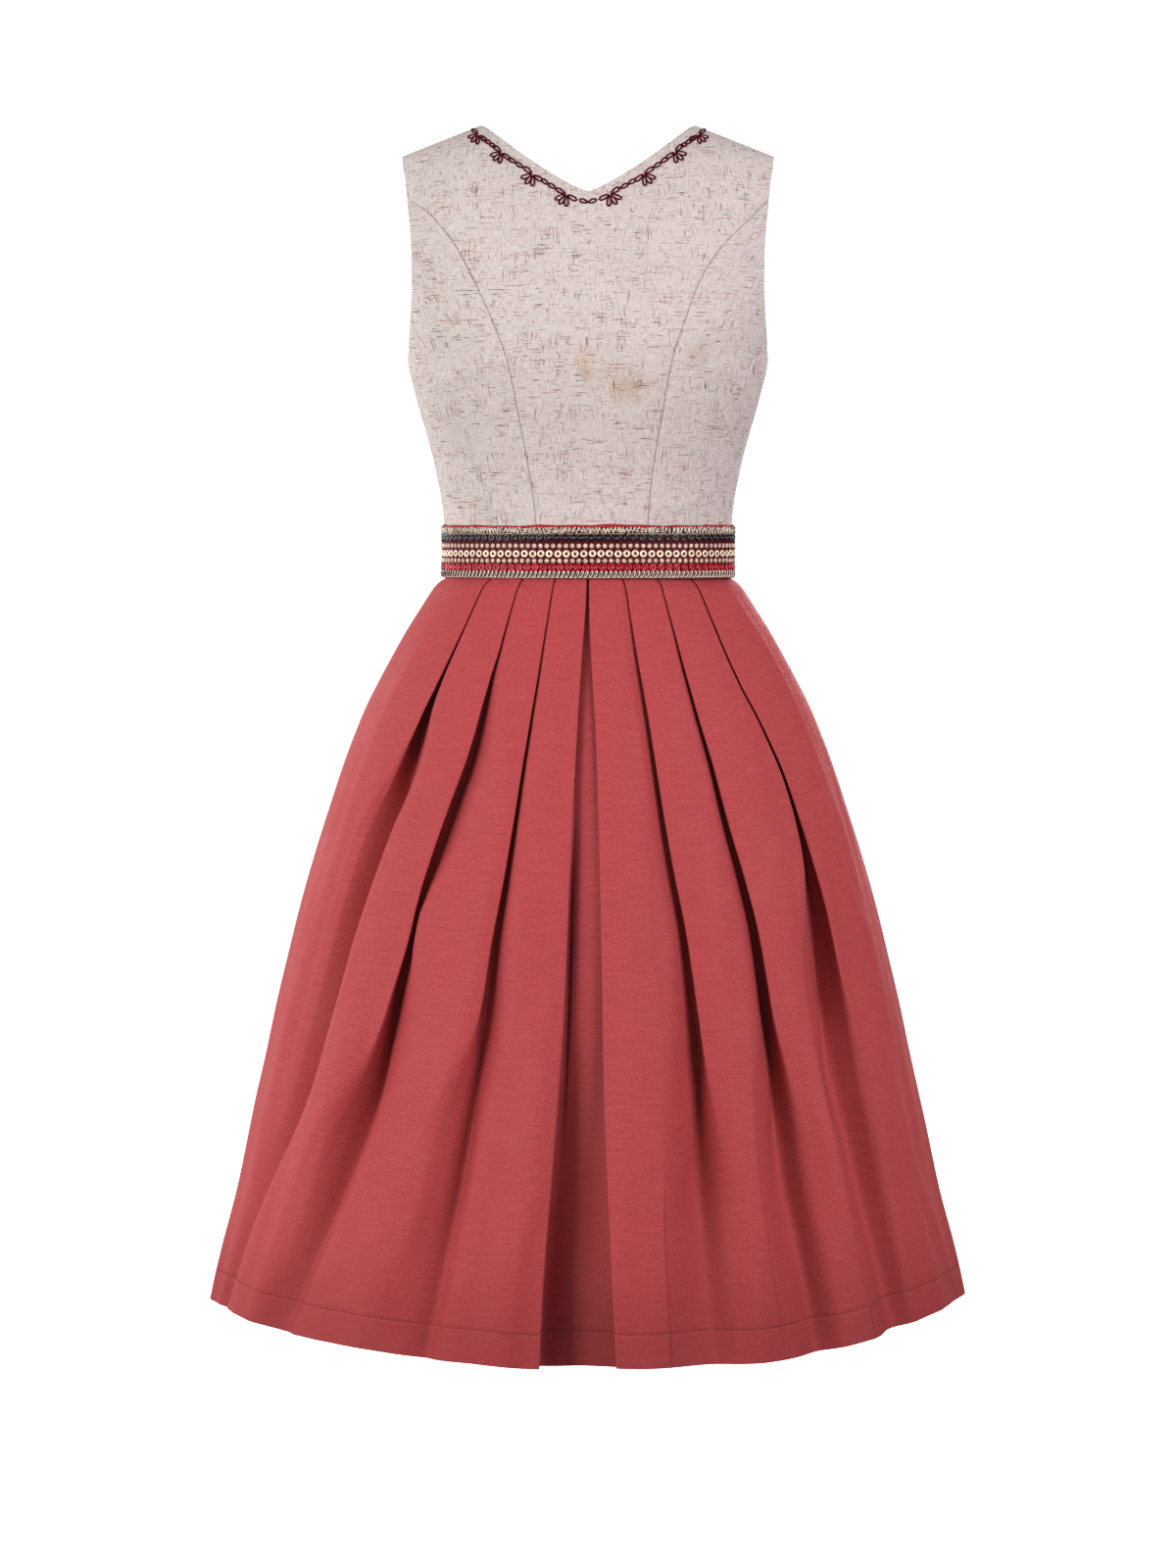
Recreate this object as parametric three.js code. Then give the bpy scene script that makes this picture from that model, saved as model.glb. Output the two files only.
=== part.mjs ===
// Dirndl: sleeveless linen bodice, sequin-trimmed belt and knee-length pleated cotton skirt.
// Millimetres, +Z up, front towards -Y, +X on the wearer's left.
// The origin lies between the wearer's shoulders, level with the middle of the shoulder seams.
import * as THREE from 'three';

// ---------- sizes ----------
const SEAM_GAP = 0.3;          // clear distance between two sewn pieces
const LINEN = 1.2;             // bodice cloth
const COTTON = 1.0;            // skirt cloth
const HEM_TURN = 30;           // hem allowance turned up inside
const WAIST_Z = -385;          // bodice and skirt are joined here, under the belt
const HEM_FRONT_Z = -1096;
const HEM_SIDE_Z = -1087;
const UNDERARM_Z = -205;
const YOKE_Z = -125;           // above this height the bodice rounds over to the shoulders
const NECK_X = 99.5;           // half width of the neck at the shoulder seam
const SHOULDER_SLOPE = 29 / 75;
const BACK_NECK_Z = -62;       // lowest point of the back neckline
const PRINCESS_TOP_Z = -62;    // princess seams end in the armholes here
const BELT_TOP = -361.5;
const BELT_BOTTOM = -410;
const BELT_A = 134.5;          // ring that the belt lies on
const BELT_B = 93.7;
const FOLD_STEP = 1.5;         // distance between two cloth layers in a pressed pleat

// ---------- helpers ----------
const rad = (d) => (d * Math.PI) / 180;
const clamp = (v, a, b) => Math.min(b, Math.max(a, v));
const mix = (a, b, t) => a + (b - a) * t;
const smooth = (a, b, v) => {
  const t = clamp((v - a) / (b - a), 0, 1);
  return t * t * (3 - 2 * t);
};

// Monotone cubic through [x, y] pairs.
function curve(table) {
  const pts = [...table].sort((p, q) => p[0] - q[0]);
  const n = pts.length;
  const h = [], d = [], m = new Array(n).fill(0);
  for (let i = 0; i < n - 1; i++) {
    h.push(pts[i + 1][0] - pts[i][0]);
    d.push((pts[i + 1][1] - pts[i][1]) / h[i]);
  }
  m[0] = d[0];
  m[n - 1] = d[n - 2];
  for (let i = 1; i < n - 1; i++) {
    if (d[i - 1] * d[i] > 0) {
      const w1 = 2 * h[i] + h[i - 1], w2 = h[i] + 2 * h[i - 1];
      m[i] = (w1 + w2) / (w1 / d[i - 1] + w2 / d[i]);
    }
  }
  return (v) => {
    const x = clamp(v, pts[0][0], pts[n - 1][0]);
    let i = 0;
    while (i < n - 2 && x > pts[i + 1][0]) i++;
    const t = (x - pts[i][0]) / h[i], t2 = t * t, t3 = t2 * t;
    return (2 * t3 - 3 * t2 + 1) * pts[i][1] + (t3 - 2 * t2 + t) * h[i] * m[i]
      + (3 * t2 - 2 * t3) * pts[i + 1][1] + (t3 - t2) * h[i] * m[i + 1];
  };
}

// Closed shell from a grid of outer and inner points; flips[j] turns the diagonal of column j.
function shell(name, outer, inner, material, flips = []) {
  const rows = outer.length, cols = outer[0].length;
  const pos = [], idx = [];
  for (const grid of [outer, inner]) for (const row of grid) for (const p of row) pos.push(...p);
  const at = (side, i, j) => side * rows * cols + i * cols + j;
  const quad = (a, b, c, d, flip) => {
    if (flip) idx.push(a, b, d, b, c, d);
    else idx.push(a, b, c, a, c, d);
  };
  for (let i = 0; i < rows - 1; i++) {
    for (let j = 0; j < cols - 1; j++) {
      const f = !!flips[j];
      quad(at(0, i, j), at(0, i, j + 1), at(0, i + 1, j + 1), at(0, i + 1, j), f);
      quad(at(1, i, j), at(1, i + 1, j), at(1, i + 1, j + 1), at(1, i, j + 1), f);
    }
    quad(at(0, i, 0), at(0, i + 1, 0), at(1, i + 1, 0), at(1, i, 0));
    quad(at(0, i, cols - 1), at(1, i, cols - 1), at(1, i + 1, cols - 1), at(0, i + 1, cols - 1));
  }
  for (let j = 0; j < cols - 1; j++) {
    quad(at(0, 0, j), at(1, 0, j), at(1, 0, j + 1), at(0, 0, j + 1));
    quad(at(0, rows - 1, j), at(0, rows - 1, j + 1), at(1, rows - 1, j + 1), at(1, rows - 1, j));
  }
  return mesh(name, pos, idx, material);
}

function mesh(name, pos, idx, material) {
  let volume = 0;
  const v = (i) => new THREE.Vector3(pos[3 * i], pos[3 * i + 1], pos[3 * i + 2]);
  for (let i = 0; i < idx.length; i += 3) {
    volume += v(idx[i]).dot(v(idx[i + 1]).cross(v(idx[i + 2])));
  }
  if (volume < 0) for (let i = 0; i < idx.length; i += 3) [idx[i], idx[i + 1]] = [idx[i + 1], idx[i]];
  const g = new THREE.BufferGeometry();
  g.setAttribute('position', new THREE.Float32BufferAttribute(pos, 3));
  g.setIndex(idx);
  g.computeVertexNormals();
  const m = new THREE.Mesh(g, material);
  m.name = name;
  return m;
}

const cloth = (color, roughness = 0.9) =>
  new THREE.MeshStandardMaterial({ color, roughness, metalness: 0, side: THREE.DoubleSide });
const linen = () => cloth(0xd6c6c3);
const cotton = () => cloth(0xb34f51);

// ---------- bodice form ----------
const halfWidth = curve([[-385, 134.2], [-362, 134.5], [-356, 135.1], [-342, 136.6], [-328, 138.8],
  [-315, 141.6], [-301, 144.4], [-287, 148.1], [-273, 152], [-260, 155.9], [-246, 159.7],
  [-232, 163.3], [-219, 166.7], [-205, 168.7], [-190, 172.5], [-170, 177], [-145, 180.5],
  [-110, 182], [-60, 182], [20, 182]]);
const frontDepth = curve([[-385, 93.4], [-362, 93.6], [-330, 95], [-300, 98], [-270, 102.5],
  [-240, 107], [-215, 109.5], [-195, 110], [-170, 108], [-140, 103], [-110, 97], [-80, 91],
  [-50, 85], [-19, 80], [20, 76]]);
const backDepth = curve([[-385, 93.4], [-362, 93.4], [-330, 91], [-300, 89], [-260, 90],
  [-220, 94], [-170, 98], [-130, 99], [-95, 96], [-60, 90], [-19, 82], [20, 78]]);
const roundness = curve([[-385, 2.0], [-362, 2.0], [-300, 2.12], [-240, 2.25], [-200, 2.3],
  [-100, 2.4], [20, 2.4]]);
const shoulderZ = (x) => 10 - (Math.abs(x) - 100) * SHOULDER_SLOPE;

const spow = (v, e) => Math.sign(v) * Math.pow(Math.abs(v), e);
// side +1 front, -1 back; deg runs from the centre to the side seam (90)
function bodicePoint(side, deg, z) {
  const e = 2 / roundness(z);
  let s = side, d = deg;
  if (Math.abs(d) > 90) { s = -side; d = Math.sign(d) * (180 - Math.abs(d)); }
  const x = halfWidth(z) * spow(Math.sin(rad(d)), e);
  const k = z > YOKE_Z ? Math.sqrt(Math.max(0, 1 - ((z - YOKE_Z) / (shoulderZ(x) - YOKE_Z)) ** 2)) : 1;
  const depth = s > 0 ? frontDepth(z) : backDepth(z);
  return [x, -s * depth * spow(Math.cos(rad(d)), e) * k, z];
}
const V = (p) => new THREE.Vector3(...p);
const arr = (v) => [v.x, v.y, v.z];

function bodiceNormal(side, deg, z) {
  const dd = 0.4, dz = 0.4;
  const du = V(bodicePoint(side, deg + dd, z)).sub(V(bodicePoint(side, deg - dd, z)));
  const dv = V(bodicePoint(side, deg, z + dz)).sub(V(bodicePoint(side, deg, z - dz)));
  const n = du.cross(dv).normalize();
  return side > 0 ? n : n.negate();
}

// ---------- bodice outlines ----------
const armholeFront = curve([[-205, 90], [-203.5, 85], [-200, 79.8], [-193, 74.3], [-180, 68.9],
  [-167, 65.2], [-140, 61.5], [-114, 60.9], [-86, 62.2], [-72, 63.6], [-58, 64.9], [-44, 66.3],
  [-30, 69.0], [-19, 70.4]]);
const armholeBack = curve([[-205, 90], [-203.5, 84.5], [-200, 78.6], [-193, 72.6], [-180, 67],
  [-167, 63.4], [-140, 60], [-114, 59.6], [-86, 61], [-72, 62.4], [-58, 63.8], [-44, 65.5],
  [-30, 68.4], [-19, 70.4]]);
const princess = {
  left: curve([[-62, 64.7], [-69.5, 58.9], [-83, 50.6], [-106, 39.2], [-130, 32.2], [-156, 28.3],
    [-176, 26.6], [-186, 25.8], [-210, 24.2], [-235, 23.5], [-291, 23.6], [-360, 24.2], [-386, 24.4]]),
  right: curve([[-62, 64.7], [-69.5, 54.6], [-87, 44.9], [-106, 38.1], [-128, 33.2], [-149, 29.7],
    [-176, 26.2], [-186, 25.3], [-224, 22.4], [-287, 21.7], [-357, 20.8], [-386, 20.5]]),
};
const frontNeck = curve([[0, -58.2], [5.4, -56.6], [10.7, -54.2], [21.4, -48.4], [32.2, -41.8],
  [42.9, -34.7], [53.8, -27.0], [64.6, -18.8], [75.6, -9.9], [86.7, -0.6], [94.3, 5.9], [NECK_X, 10.2]]);
const backNeck = (x) => mix(BACK_NECK_Z, 10.2, Math.pow(Math.abs(x) / NECK_X, 1.35));
const topZ = (side, x) => (Math.abs(x) < NECK_X ? (side > 0 ? frontNeck(Math.abs(x)) : backNeck(x))
  : shoulderZ(x));

// heights of the points along the outer edge of the centre panels
const EDGE_Z = [WAIST_Z + SEAM_GAP, -362, -335, -308, -282, -258, -236, -218, -205, -203.2, -198,
  -187, -168, -146, -123, -102, -84, -71.5, -65, -62, -50, -38, -28, -21.3, -19];

// Panel whose columns run from the waist up to a free top edge.
function topPanel(name, side, edgeAt, fractions, edgeZ = EDGE_Z) {
  const z0 = edgeZ[0], z1 = edgeZ[edgeZ.length - 1];
  const columns = fractions.map((u) => {
    const deg = (z) => u * edgeAt(Math.sign(u) || 1, Math.min(z, z1));
    let lo = -120, hi = 12;
    for (let k = 0; k < 50; k++) {
      const z = (lo + hi) / 2;
      if (z < topZ(side, bodicePoint(side, deg(z), z)[0])) lo = z; else hi = z;
    }
    return edgeZ.map((ze) => {
      const f = (ze - z0) / (z1 - z0);
      return { deg, z: mix(z0, lo, f), u, f };
    });
  });
  const outer = [], inner = [];
  for (let i = 0; i < edgeZ.length; i++) {
    outer.push([]);
    inner.push([]);
    for (const col of columns) {
      const { deg, z, u, f } = col[i];
      const d = deg(z);
      const p = V(bodicePoint(side, d, z));
      const n = bodiceNormal(side, d, z);
      const shoulder = f === 1 && Math.abs(p.x) > NECK_X - 0.5;
      if (shoulder) {
        n.y = 0;
        n.normalize();
        p.y = -side * SEAM_GAP / 2;
      }
      if (Math.abs(u) === 1) {
        const back = V(bodicePoint(side, d - Math.sign(u) * 0.5, z)).sub(V(bodicePoint(side, d, z)));
        if (shoulder) back.y = 0;
        p.addScaledVector(back.normalize(), SEAM_GAP / 2);
      }
      outer[i].push(arr(p));
      inner[i].push(arr(p.clone().addScaledVector(n, -LINEN)));
    }
  }
  return shell(name, outer, inner, linen());
}

// Panel between the princess seam and the side seam or armhole.
function sideFront(name, sx, seam) {
  const zs = EDGE_Z.filter((z) => z <= -65);
  const cols = [0, 0.2, 0.4, 0.6, 0.8, 1];
  const outer = [], inner = [];
  zs.forEach((zl, i) => {
    const zr = i === zs.length - 1 ? -62.7 : i === zs.length - 2 ? -70.5 : zl;
    outer.push([]);
    inner.push([]);
    for (const u of cols) {
      const z = mix(zl, zr, u);
      const d = sx * mix(seam(zl), zr > UNDERARM_Z ? armholeFront(zr) : 90, u);
      const p = V(bodicePoint(1, d, z));
      const n = bodiceNormal(1, d, z);
      if (u === 0 || u === 1) {
        const step = u === 0 ? sx * 0.5 : -sx * 0.5;
        const dir = V(bodicePoint(1, d + step, z)).sub(V(bodicePoint(1, d, z))).normalize();
        p.addScaledVector(dir, SEAM_GAP / 2);
      }
      outer[i].push(arr(p));
      inner[i].push(arr(p.clone().addScaledVector(n, -LINEN)));
    }
  });
  return shell(name, outer, inner, linen());
}

const frontEdge = (sx, z) => (z < PRINCESS_TOP_Z
  ? (sx > 0 ? princess.left(z) : princess.right(z)) : armholeFront(z));
const backEdge = (sx, z) => (z < UNDERARM_Z ? 90 : armholeBack(z));

// ---------- belt ----------
// The belt is one strip wound round the waist; its outer end laps over the other one at the
// wearer's left side. Degrees run from the front over the wearer's left side to the back.
const BELT_START = 52, BELT_END = 437, BELT_SEGMENTS = 76;
const lapOffset = (deg) => 3.95 * smooth(368, 409, deg);
function beltMesh(name, profile, material, start, end) {
  const pos = [], idx = [], k = profile.length;
  for (let i = 0; i <= BELT_SEGMENTS; i++) {
    const deg = mix(start, end, i / BELT_SEGMENTS);
    const t = rad(deg);
    const n = new THREE.Vector2(Math.sin(t) / BELT_A, -Math.cos(t) / BELT_B).normalize();
    for (const [z, out] of profile) {
      const o = out + lapOffset(deg);
      pos.push(BELT_A * Math.sin(t) + n.x * o, -BELT_B * Math.cos(t) + n.y * o, z);
    }
  }
  for (let i = 0; i < BELT_SEGMENTS; i++) {
    for (let j = 0; j < k; j++) {
      const a = i * k + j, b = i * k + (j + 1) % k;
      idx.push(a, b, b + k, a, b + k, a + k);
    }
  }
  const cap = THREE.ShapeUtils.triangulateShape(profile.map(([z, o]) => new THREE.Vector2(o, z)), []);
  const last = BELT_SEGMENTS * k;
  for (const [a, b, c] of cap) {
    // the first loop of side faces decides which way both ends must face
    const flip = THREE.ShapeUtils.area(profile.map(([z, o]) => new THREE.Vector2(o, z))) > 0;
    if (flip) idx.push(a, b, c, last + a, last + c, last + b);
    else idx.push(a, b, c, last + a, last + c, last + b);
  }
  return mesh(name, pos, idx, material);
}
const bandProfile = [[BELT_TOP, 0.4], [BELT_TOP, 1.4], [BELT_BOTTOM, 1.4], [BELT_BOTTOM, 0.4]];
// raised rows from the top: zigzag stitching, dark rings, beads, gold rings, beads, red rings, chain
const trimProfile = [[-364, 1.7], [-364, 2.5], [-369, 2.5], [-370.2, 3.2], [-375.4, 3.2],
  [-377.4, 2.6], [-383.4, 2.6], [-384.4, 3.4], [-390.4, 3.4], [-392, 2.6], [-396.4, 2.6],
  [-397.4, 3.2], [-402.6, 3.2], [-404, 2.6], [-409.4, 2.6], [-409.4, 1.7]];

// ---------- skirt form ----------
const skirtWidth = curve([[-385, 134.2], [-411, 134.3], [-413, 137.5], [-415.5, 140.8], [-420, 145],
  [-425, 148.3], [-429, 151], [-438.5, 157], [-461.5, 171.5], [-484.6, 184.5], [-507.7, 197],
  [-530.8, 208.7], [-554, 218.5], [-577, 227.4], [-623, 242.9], [-670, 257.9], [-716, 271.2],
  [-763, 283.1], [-810, 294.5], [-857, 304.6], [-903.5, 315.1], [-950.5, 324.7], [-998, 334.9],
  [-1045, 345.5], [-1097, 356.5]]);
const skirtDepth = curve([[-385, 93.4], [-411, 93.5], [-420, 98], [-440, 108], [-460, 118.5],
  [-485, 130], [-508, 139], [-554, 158], [-600, 175], [-650, 191], [-700, 206], [-763, 222],
  [-810, 234], [-857, 245], [-904, 255], [-950, 264], [-998, 273], [-1045, 282], [-1096, 290]]);

// Pleat tables against height, one set for each quarter: c is the folded edge beside the centre,
// the others follow outwards. edge: azimuth in degrees; gap: width of the visible recess; deep:
// depth of the recess; lap: how far the cloth doubles back behind the edge; open: heights between
// which the fold turns into a soft wave.
const quarters = {
  frontRight: {
    lean: -1,
    c: { edge: [[-385, 0.5], [-411, 0.6], [-486, 1.9], [-542, 2.6], [-639, 3.4], [-788, 4.2],
      [-925, 5.6], [-1034, 6.7], [-1096, 6.9]],
      deep: [[-385, 3], [-420, 6], [-460, 9], [-500, 10], [-600, 11], [-700, 12], [-780, 15],
        [-850, 24], [-900, 33], [-1000, 45], [-1096, 48]],
      lap: [[-385, 29], [-500, 26], [-700, 20], [-900, 14], [-1096, 10]] },
    pleats: [
      { edge: [[-385, 13.3], [-411, 13.3], [-483, 13.7], [-591, 15.3], [-680, 16.9], [-734,
        18.2], [-819, 19.5], [-864, 20.8], [-933, 22.3], [-1018, 24.2], [-1096, 25.6]],
        gap: [[-385, 2.5], [-420, 2.5], [-500, 3.5], [-600, 5], [-680, 9], [-773, 20], [-862,
          33], [-940, 38], [-1096, 42]],
        deep: [[-385, 3], [-420, 3], [-500, 5], [-600, 9], [-700, 13], [-780, 18], [-850, 22],
          [-933, 20], [-1018, 15], [-1096, 10]],
        lap: [[-385, 29], [-500, 25], [-600, 19], [-700, 13], [-800, 6], [-900, 1]],
        open: [-770, -920] },
      { edge: [[-385, 27.4], [-411, 27], [-468, 27], [-499, 27.6], [-537, 28.2], [-572, 29.3],
        [-611, 31.4], [-654, 33.4], [-695, 34.9], [-732, 35.7], [-788, 38.1], [-855, 40.5],
        [-943, 44.6], [-1033, 49.5], [-1096, 52.6]],
        gap: [[-385, 2.5], [-420, 2.5], [-470, 4], [-498, 7], [-534, 15], [-572, 20], [-594, 20],
          [-626, 21], [-659, 18], [-694, 9], [-712, 5], [-733, 6], [-760, 14], [-791, 24], [-823,
          30], [-868, 38], [-943, 42], [-1033, 42], [-1096, 42]],
        deep: [[-385, 3], [-420, 3], [-480, 5], [-534, 12], [-590, 17], [-650, 17], [-700, 13],
          [-760, 17], [-820, 24], [-880, 27], [-943, 22], [-1020, 15], [-1096, 9]],
        lap: [[-385, 29], [-500, 23], [-600, 16], [-700, 10], [-760, 6], [-840, 1]],
        open: [-790, -930] },
      { edge: [[-385, 42.6], [-411, 42.8], [-455, 43.2], [-503, 44.9], [-541, 46.8], [-575,
        48.2], [-600, 49.2], [-640, 51.4], [-684, 53], [-738, 54.6], [-800, 56], [-863, 58],
        [-910, 61], [-958, 65], [-1030, 70], [-1096, 73]],
        gap: [[-385, 2.5], [-420, 2.5], [-490, 4], [-510, 6], [-530, 10], [-552, 17], [-585, 26],
          [-623, 29], [-667, 31], [-745, 31], [-800, 31], [-870, 29], [-940, 25], [-1096, 22]],
        deep: [[-385, 3], [-420, 3], [-480, 5], [-508, 9], [-540, 16], [-585, 24], [-640, 27],
          [-700, 26], [-760, 23], [-820, 19], [-885, 15], [-958, 11], [-1030, 7], [-1096, 5]],
        lap: [[-385, 29], [-480, 24], [-540, 17], [-600, 10], [-660, 5], [-720, 1]],
        open: [-530, -650] },
    ],
  },
  frontLeft: {
    lean: 1,
    c: { edge: [[-385, 0.5], [-439, 0.5], [-483, 1], [-550, 1.9], [-678, 2.4], [-870, 2.7],
      [-979, 3.3], [-1096, 4]],
      deep: [[-385, 3], [-420, 3], [-500, 3.5], [-600, 4], [-700, 5.5], [-800, 9], [-900, 14],
        [-1000, 19], [-1096, 23]],
      lap: [[-385, 29], [-500, 26], [-700, 21], [-900, 15], [-1096, 11]] },
    pleats: [
      { edge: [[-385, 14.1], [-413, 14.2], [-454, 14.2], [-513, 14.8], [-589, 15.9], [-665,
        17.3], [-730, 18.9], [-797, 19.8], [-877, 20.6], [-933, 20.9], [-1016, 20.7], [-1096,
        20.7]],
        gap: [[-385, 2.5], [-415, 3], [-440, 8], [-500, 11], [-600, 12], [-700, 15], [-796, 24],
          [-877, 40], [-975, 52], [-1096, 54]],
        deep: [[-385, 3], [-420, 3], [-500, 6], [-600, 9], [-700, 12], [-780, 17], [-848, 22],
          [-933, 24], [-1016, 20], [-1096, 14]],
        lap: [[-385, 29], [-500, 26], [-600, 19], [-700, 12], [-800, 6], [-900, 1]],
        open: [-810, -960] },
      { edge: [[-385, 29.4], [-412, 28.9], [-425, 28.3], [-472, 27.9], [-526, 28.4], [-577,
        29.9], [-629, 31.3], [-682, 33], [-726, 34.1], [-800, 34.8], [-852, 35.8], [-938, 36.4],
        [-1024, 37.6], [-1096, 38.4]],
        gap: [[-385, 2.5], [-420, 2.5], [-500, 5], [-600, 9], [-700, 14], [-800, 20], [-860, 36],
          [-938, 48], [-1024, 52], [-1096, 52]],
        deep: [[-385, 3], [-420, 3], [-500, 6], [-600, 10], [-700, 15], [-780, 20], [-852, 24],
          [-938, 25], [-1024, 20], [-1096, 14]],
        lap: [[-385, 29], [-500, 25], [-600, 17], [-700, 10], [-790, 5], [-860, 1]],
        open: [-800, -930] },
      { edge: [[-385, 45.9], [-417, 45.4], [-465, 44.6], [-506, 45.6], [-544, 48.4], [-572,
        50.2], [-593, 51.4], [-627, 52.6], [-661, 53.4], [-713, 54], [-785, 53.6], [-860, 53.4],
        [-948, 54.4], [-1036, 54.8], [-1096, 55]],
        gap: [[-385, 2.5], [-420, 2.5], [-560, 3], [-614, 5], [-645, 9], [-671, 15], [-696, 25],
          [-721, 35], [-770, 46], [-860, 54], [-948, 52], [-1096, 50]],
        deep: [[-385, 3], [-420, 3], [-500, 6], [-560, 9], [-620, 13], [-680, 19], [-740, 26],
          [-800, 30], [-860, 28], [-948, 24], [-1036, 17], [-1096, 12]],
        lap: [[-385, 29], [-500, 24], [-600, 17], [-700, 8], [-780, 1]],
        open: [-740, -870] },
    ],
  },
};
// The back is pleated like the front, a little calmer and not quite the same on its two sides.
function backQuarter(src, turn, ease) {
  const swap = (tab, f) => tab.map(([z, v]) => [z, f(v, z)]);
  const settle = (z) => smooth(-420, -900, z);
  return {
    lean: src.lean,
    c: { edge: swap(src.c.edge, (v, z) => v + turn * 0.7 * settle(z)), deep: src.c.deep,
      lap: src.c.lap },
    pleats: src.pleats.map((p, k) => ({
      edge: swap(p.edge, (v, z) => v + turn * (k === 1 ? 1.6 : -1.1) * settle(z)),
      gap: swap(p.gap, (v, z) => mix(v, v * ease, settle(z))),
      deep: swap(p.deep, (v, z) => mix(v, Math.max(3, v * ease), settle(z))),
      lap: p.lap, open: p.open.map((z) => z - 25 * (k - 1)),
    })),
  };
}
quarters.backLeft = backQuarter(quarters.frontRight, 1, 0.85);
quarters.backRight = backQuarter(quarters.frontLeft, -1, 0.95);
for (const q of Object.values(quarters)) {
  for (const p of [q.c, ...q.pleats]) {
    for (const key of ['edge', 'gap', 'deep', 'lap']) if (p[key]) p[key] = curve(p[key]);
  }
}

// Cross-section of one quarter at height z: [azimuth deg, offset mm, depth mm] from the centre out.
const SIDE_PANEL = [0.30, 0.46, 0.63, 0.80];
// Hollow of an opened pleat: [place in gap widths from the edge, share of the depth].
const WAVE = {
  1: [[-1, 0], [-0.8, 0.16], [-0.58, 0.52], [-0.38, 0.86], [-0.24, 1], [-0.12, 0.92], [0, 0.6],
    [0.12, 0.2], [0.26, 0]],
  '-1': [[-0.62, 0], [-0.5, 0.2], [-0.38, 0.58], [-0.27, 0.9], [-0.15, 1], [0, 0.84], [0.24, 0.5],
    [0.52, 0.2], [0.9, 0]],
};
const crown = curve([[-385, 0], [-600, 0], [-850, 3.5], [-940, 5], [-1096, 3]]);
function quarterSection(q, z) {
  const out = [];
  const c = q.c, e = c.edge(z), m = c.deep(z), lap = c.lap(z), soft = smooth(-520, -960, z);
  out.push([e, lap / 2, m * mix(1, 0.94, soft)], [e, lap, m * mix(1, 0.74, soft)],
    [e, lap * mix(1, 0.86, soft), m / 2], [e, lap / 2, mix(m / 2, FOLD_STEP, 0.5)],
    [e, 0, FOLD_STEP], [e, 0, 0]);
  let last = e;
  q.pleats.forEach((p) => {
    const E = p.edge(z), g = p.gap(z), d = p.deep(z), l = p.lap(z);
    const w = smooth(p.open[0], p.open[1], z);
    const fold = [[-g, 0], [-g * 0.45, d * 0.6], [0.3, d], [l / 2, d], [l, d], [l, d / 2],
      [l / 2, mix(d / 2, FOLD_STEP, 0.5)], [0, FOLD_STEP], [0, 0]];
    const wave = WAVE[q.lean].map(([t, n]) => [t * g, n * d]);
    out.push([mix(last, E, 0.46), 0, -crown(z)]);
    fold.forEach((f, i) => out.push([E, mix(f[0], wave[i][0], w), mix(f[1], wave[i][1], w)]));
    last = E;
  });
  for (const f of SIDE_PANEL) out.push([mix(last, 90, f), 0, 0]);
  out.push([90, 0, 0]);
  return out;
}

function ringPoint(front, sx, deg, off, depth, z) {
  const a = skirtWidth(z), b = skirtDepth(z);
  let t = rad(deg);
  t += off / Math.hypot(a * Math.cos(t), b * Math.sin(t));
  t = Math.min(t, Math.PI / 2);
  const nx = Math.sin(t) / a, ny = Math.cos(t) / b, l = Math.hypot(nx, ny);
  const inset = depth + COTTON / 2;
  return [sx * (a * Math.sin(t) - inset * nx / l), front * (-b * Math.cos(t) + inset * ny / l)];
}

// Moves a flat polyline sideways by r with mitred corners.
function offsetLine(line, r) {
  const dir = (p, q) => {
    const dx = q[0] - p[0], dy = q[1] - p[1], l = Math.hypot(dx, dy) || 1;
    return [dx / l, dy / l];
  };
  return line.map((p, i) => {
    const a = i ? dir(line[i - 1], p) : null, b = i < line.length - 1 ? dir(p, line[i + 1]) : null;
    const u = a || b, v = b || a;
    let nx = u[1] + v[1], ny = -(u[0] + v[0]);
    const l = Math.hypot(nx, ny) || 1;
    nx /= l;
    ny /= l;
    const k = r / Math.max(0.55, nx * u[1] - ny * u[0]);
    return [p[0] + nx * k, p[1] + ny * k];
  });
}

const ROW_Z = [WAIST_Z, -411, -418, -430, -448, -474, -508, -552, -608, -676, -758, -850, -945,
  -1020, HEM_FRONT_Z + HEM_TURN, HEM_FRONT_Z];
function skirtHalf(name, front, leftQuarter, rightQuarter) {
  const outer = [], inner = [];
  let flips = null;
  for (const z of ROW_Z) {
    const section = (q, sx) => quarterSection(q, z).map(([t, o, n]) => ringPoint(front, sx, t, o, n, z));
    const L = section(leftQuarter, 1), R = section(rightQuarter, -1);
    const m = mix(rightQuarter.c.deep(z), leftQuarter.c.deep(z), 0.7);
    const mid = ringPoint(front, 1, 0, 0, m, z);
    const line = [...R.reverse(), mid, ...L];
    // seam allowance taken off both ends
    line[0][1] -= front * SEAM_GAP / 2;
    line[line.length - 1][1] -= front * SEAM_GAP / 2;
    if (!flips) {
      flips = line.slice(1).map((p, j) => p[0] < line[j][0] - 0.01);
    }
    const extra = z <= HEM_FRONT_Z + HEM_TURN ? COTTON : 0;
    const o = offsetLine(line, front * COTTON / 2), i = offsetLine(line, -front * (COTTON / 2 + extra));
    const drop = (p) => {
      const s = clamp(Math.abs(p[0]) / skirtWidth(z), 0, 1);
      return z - (z < -1000 ? (HEM_FRONT_Z - HEM_SIDE_Z) * s * s * s * ((-1000 - z) / 96) : 0);
    };
    outer.push(o.map((p) => [p[0], p[1], drop(p)]));
    inner.push(i.map((p, k) => [p[0], p[1], drop(o[k])]));
  }
  return shell(name, outer, inner, cotton(), flips);
}

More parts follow.
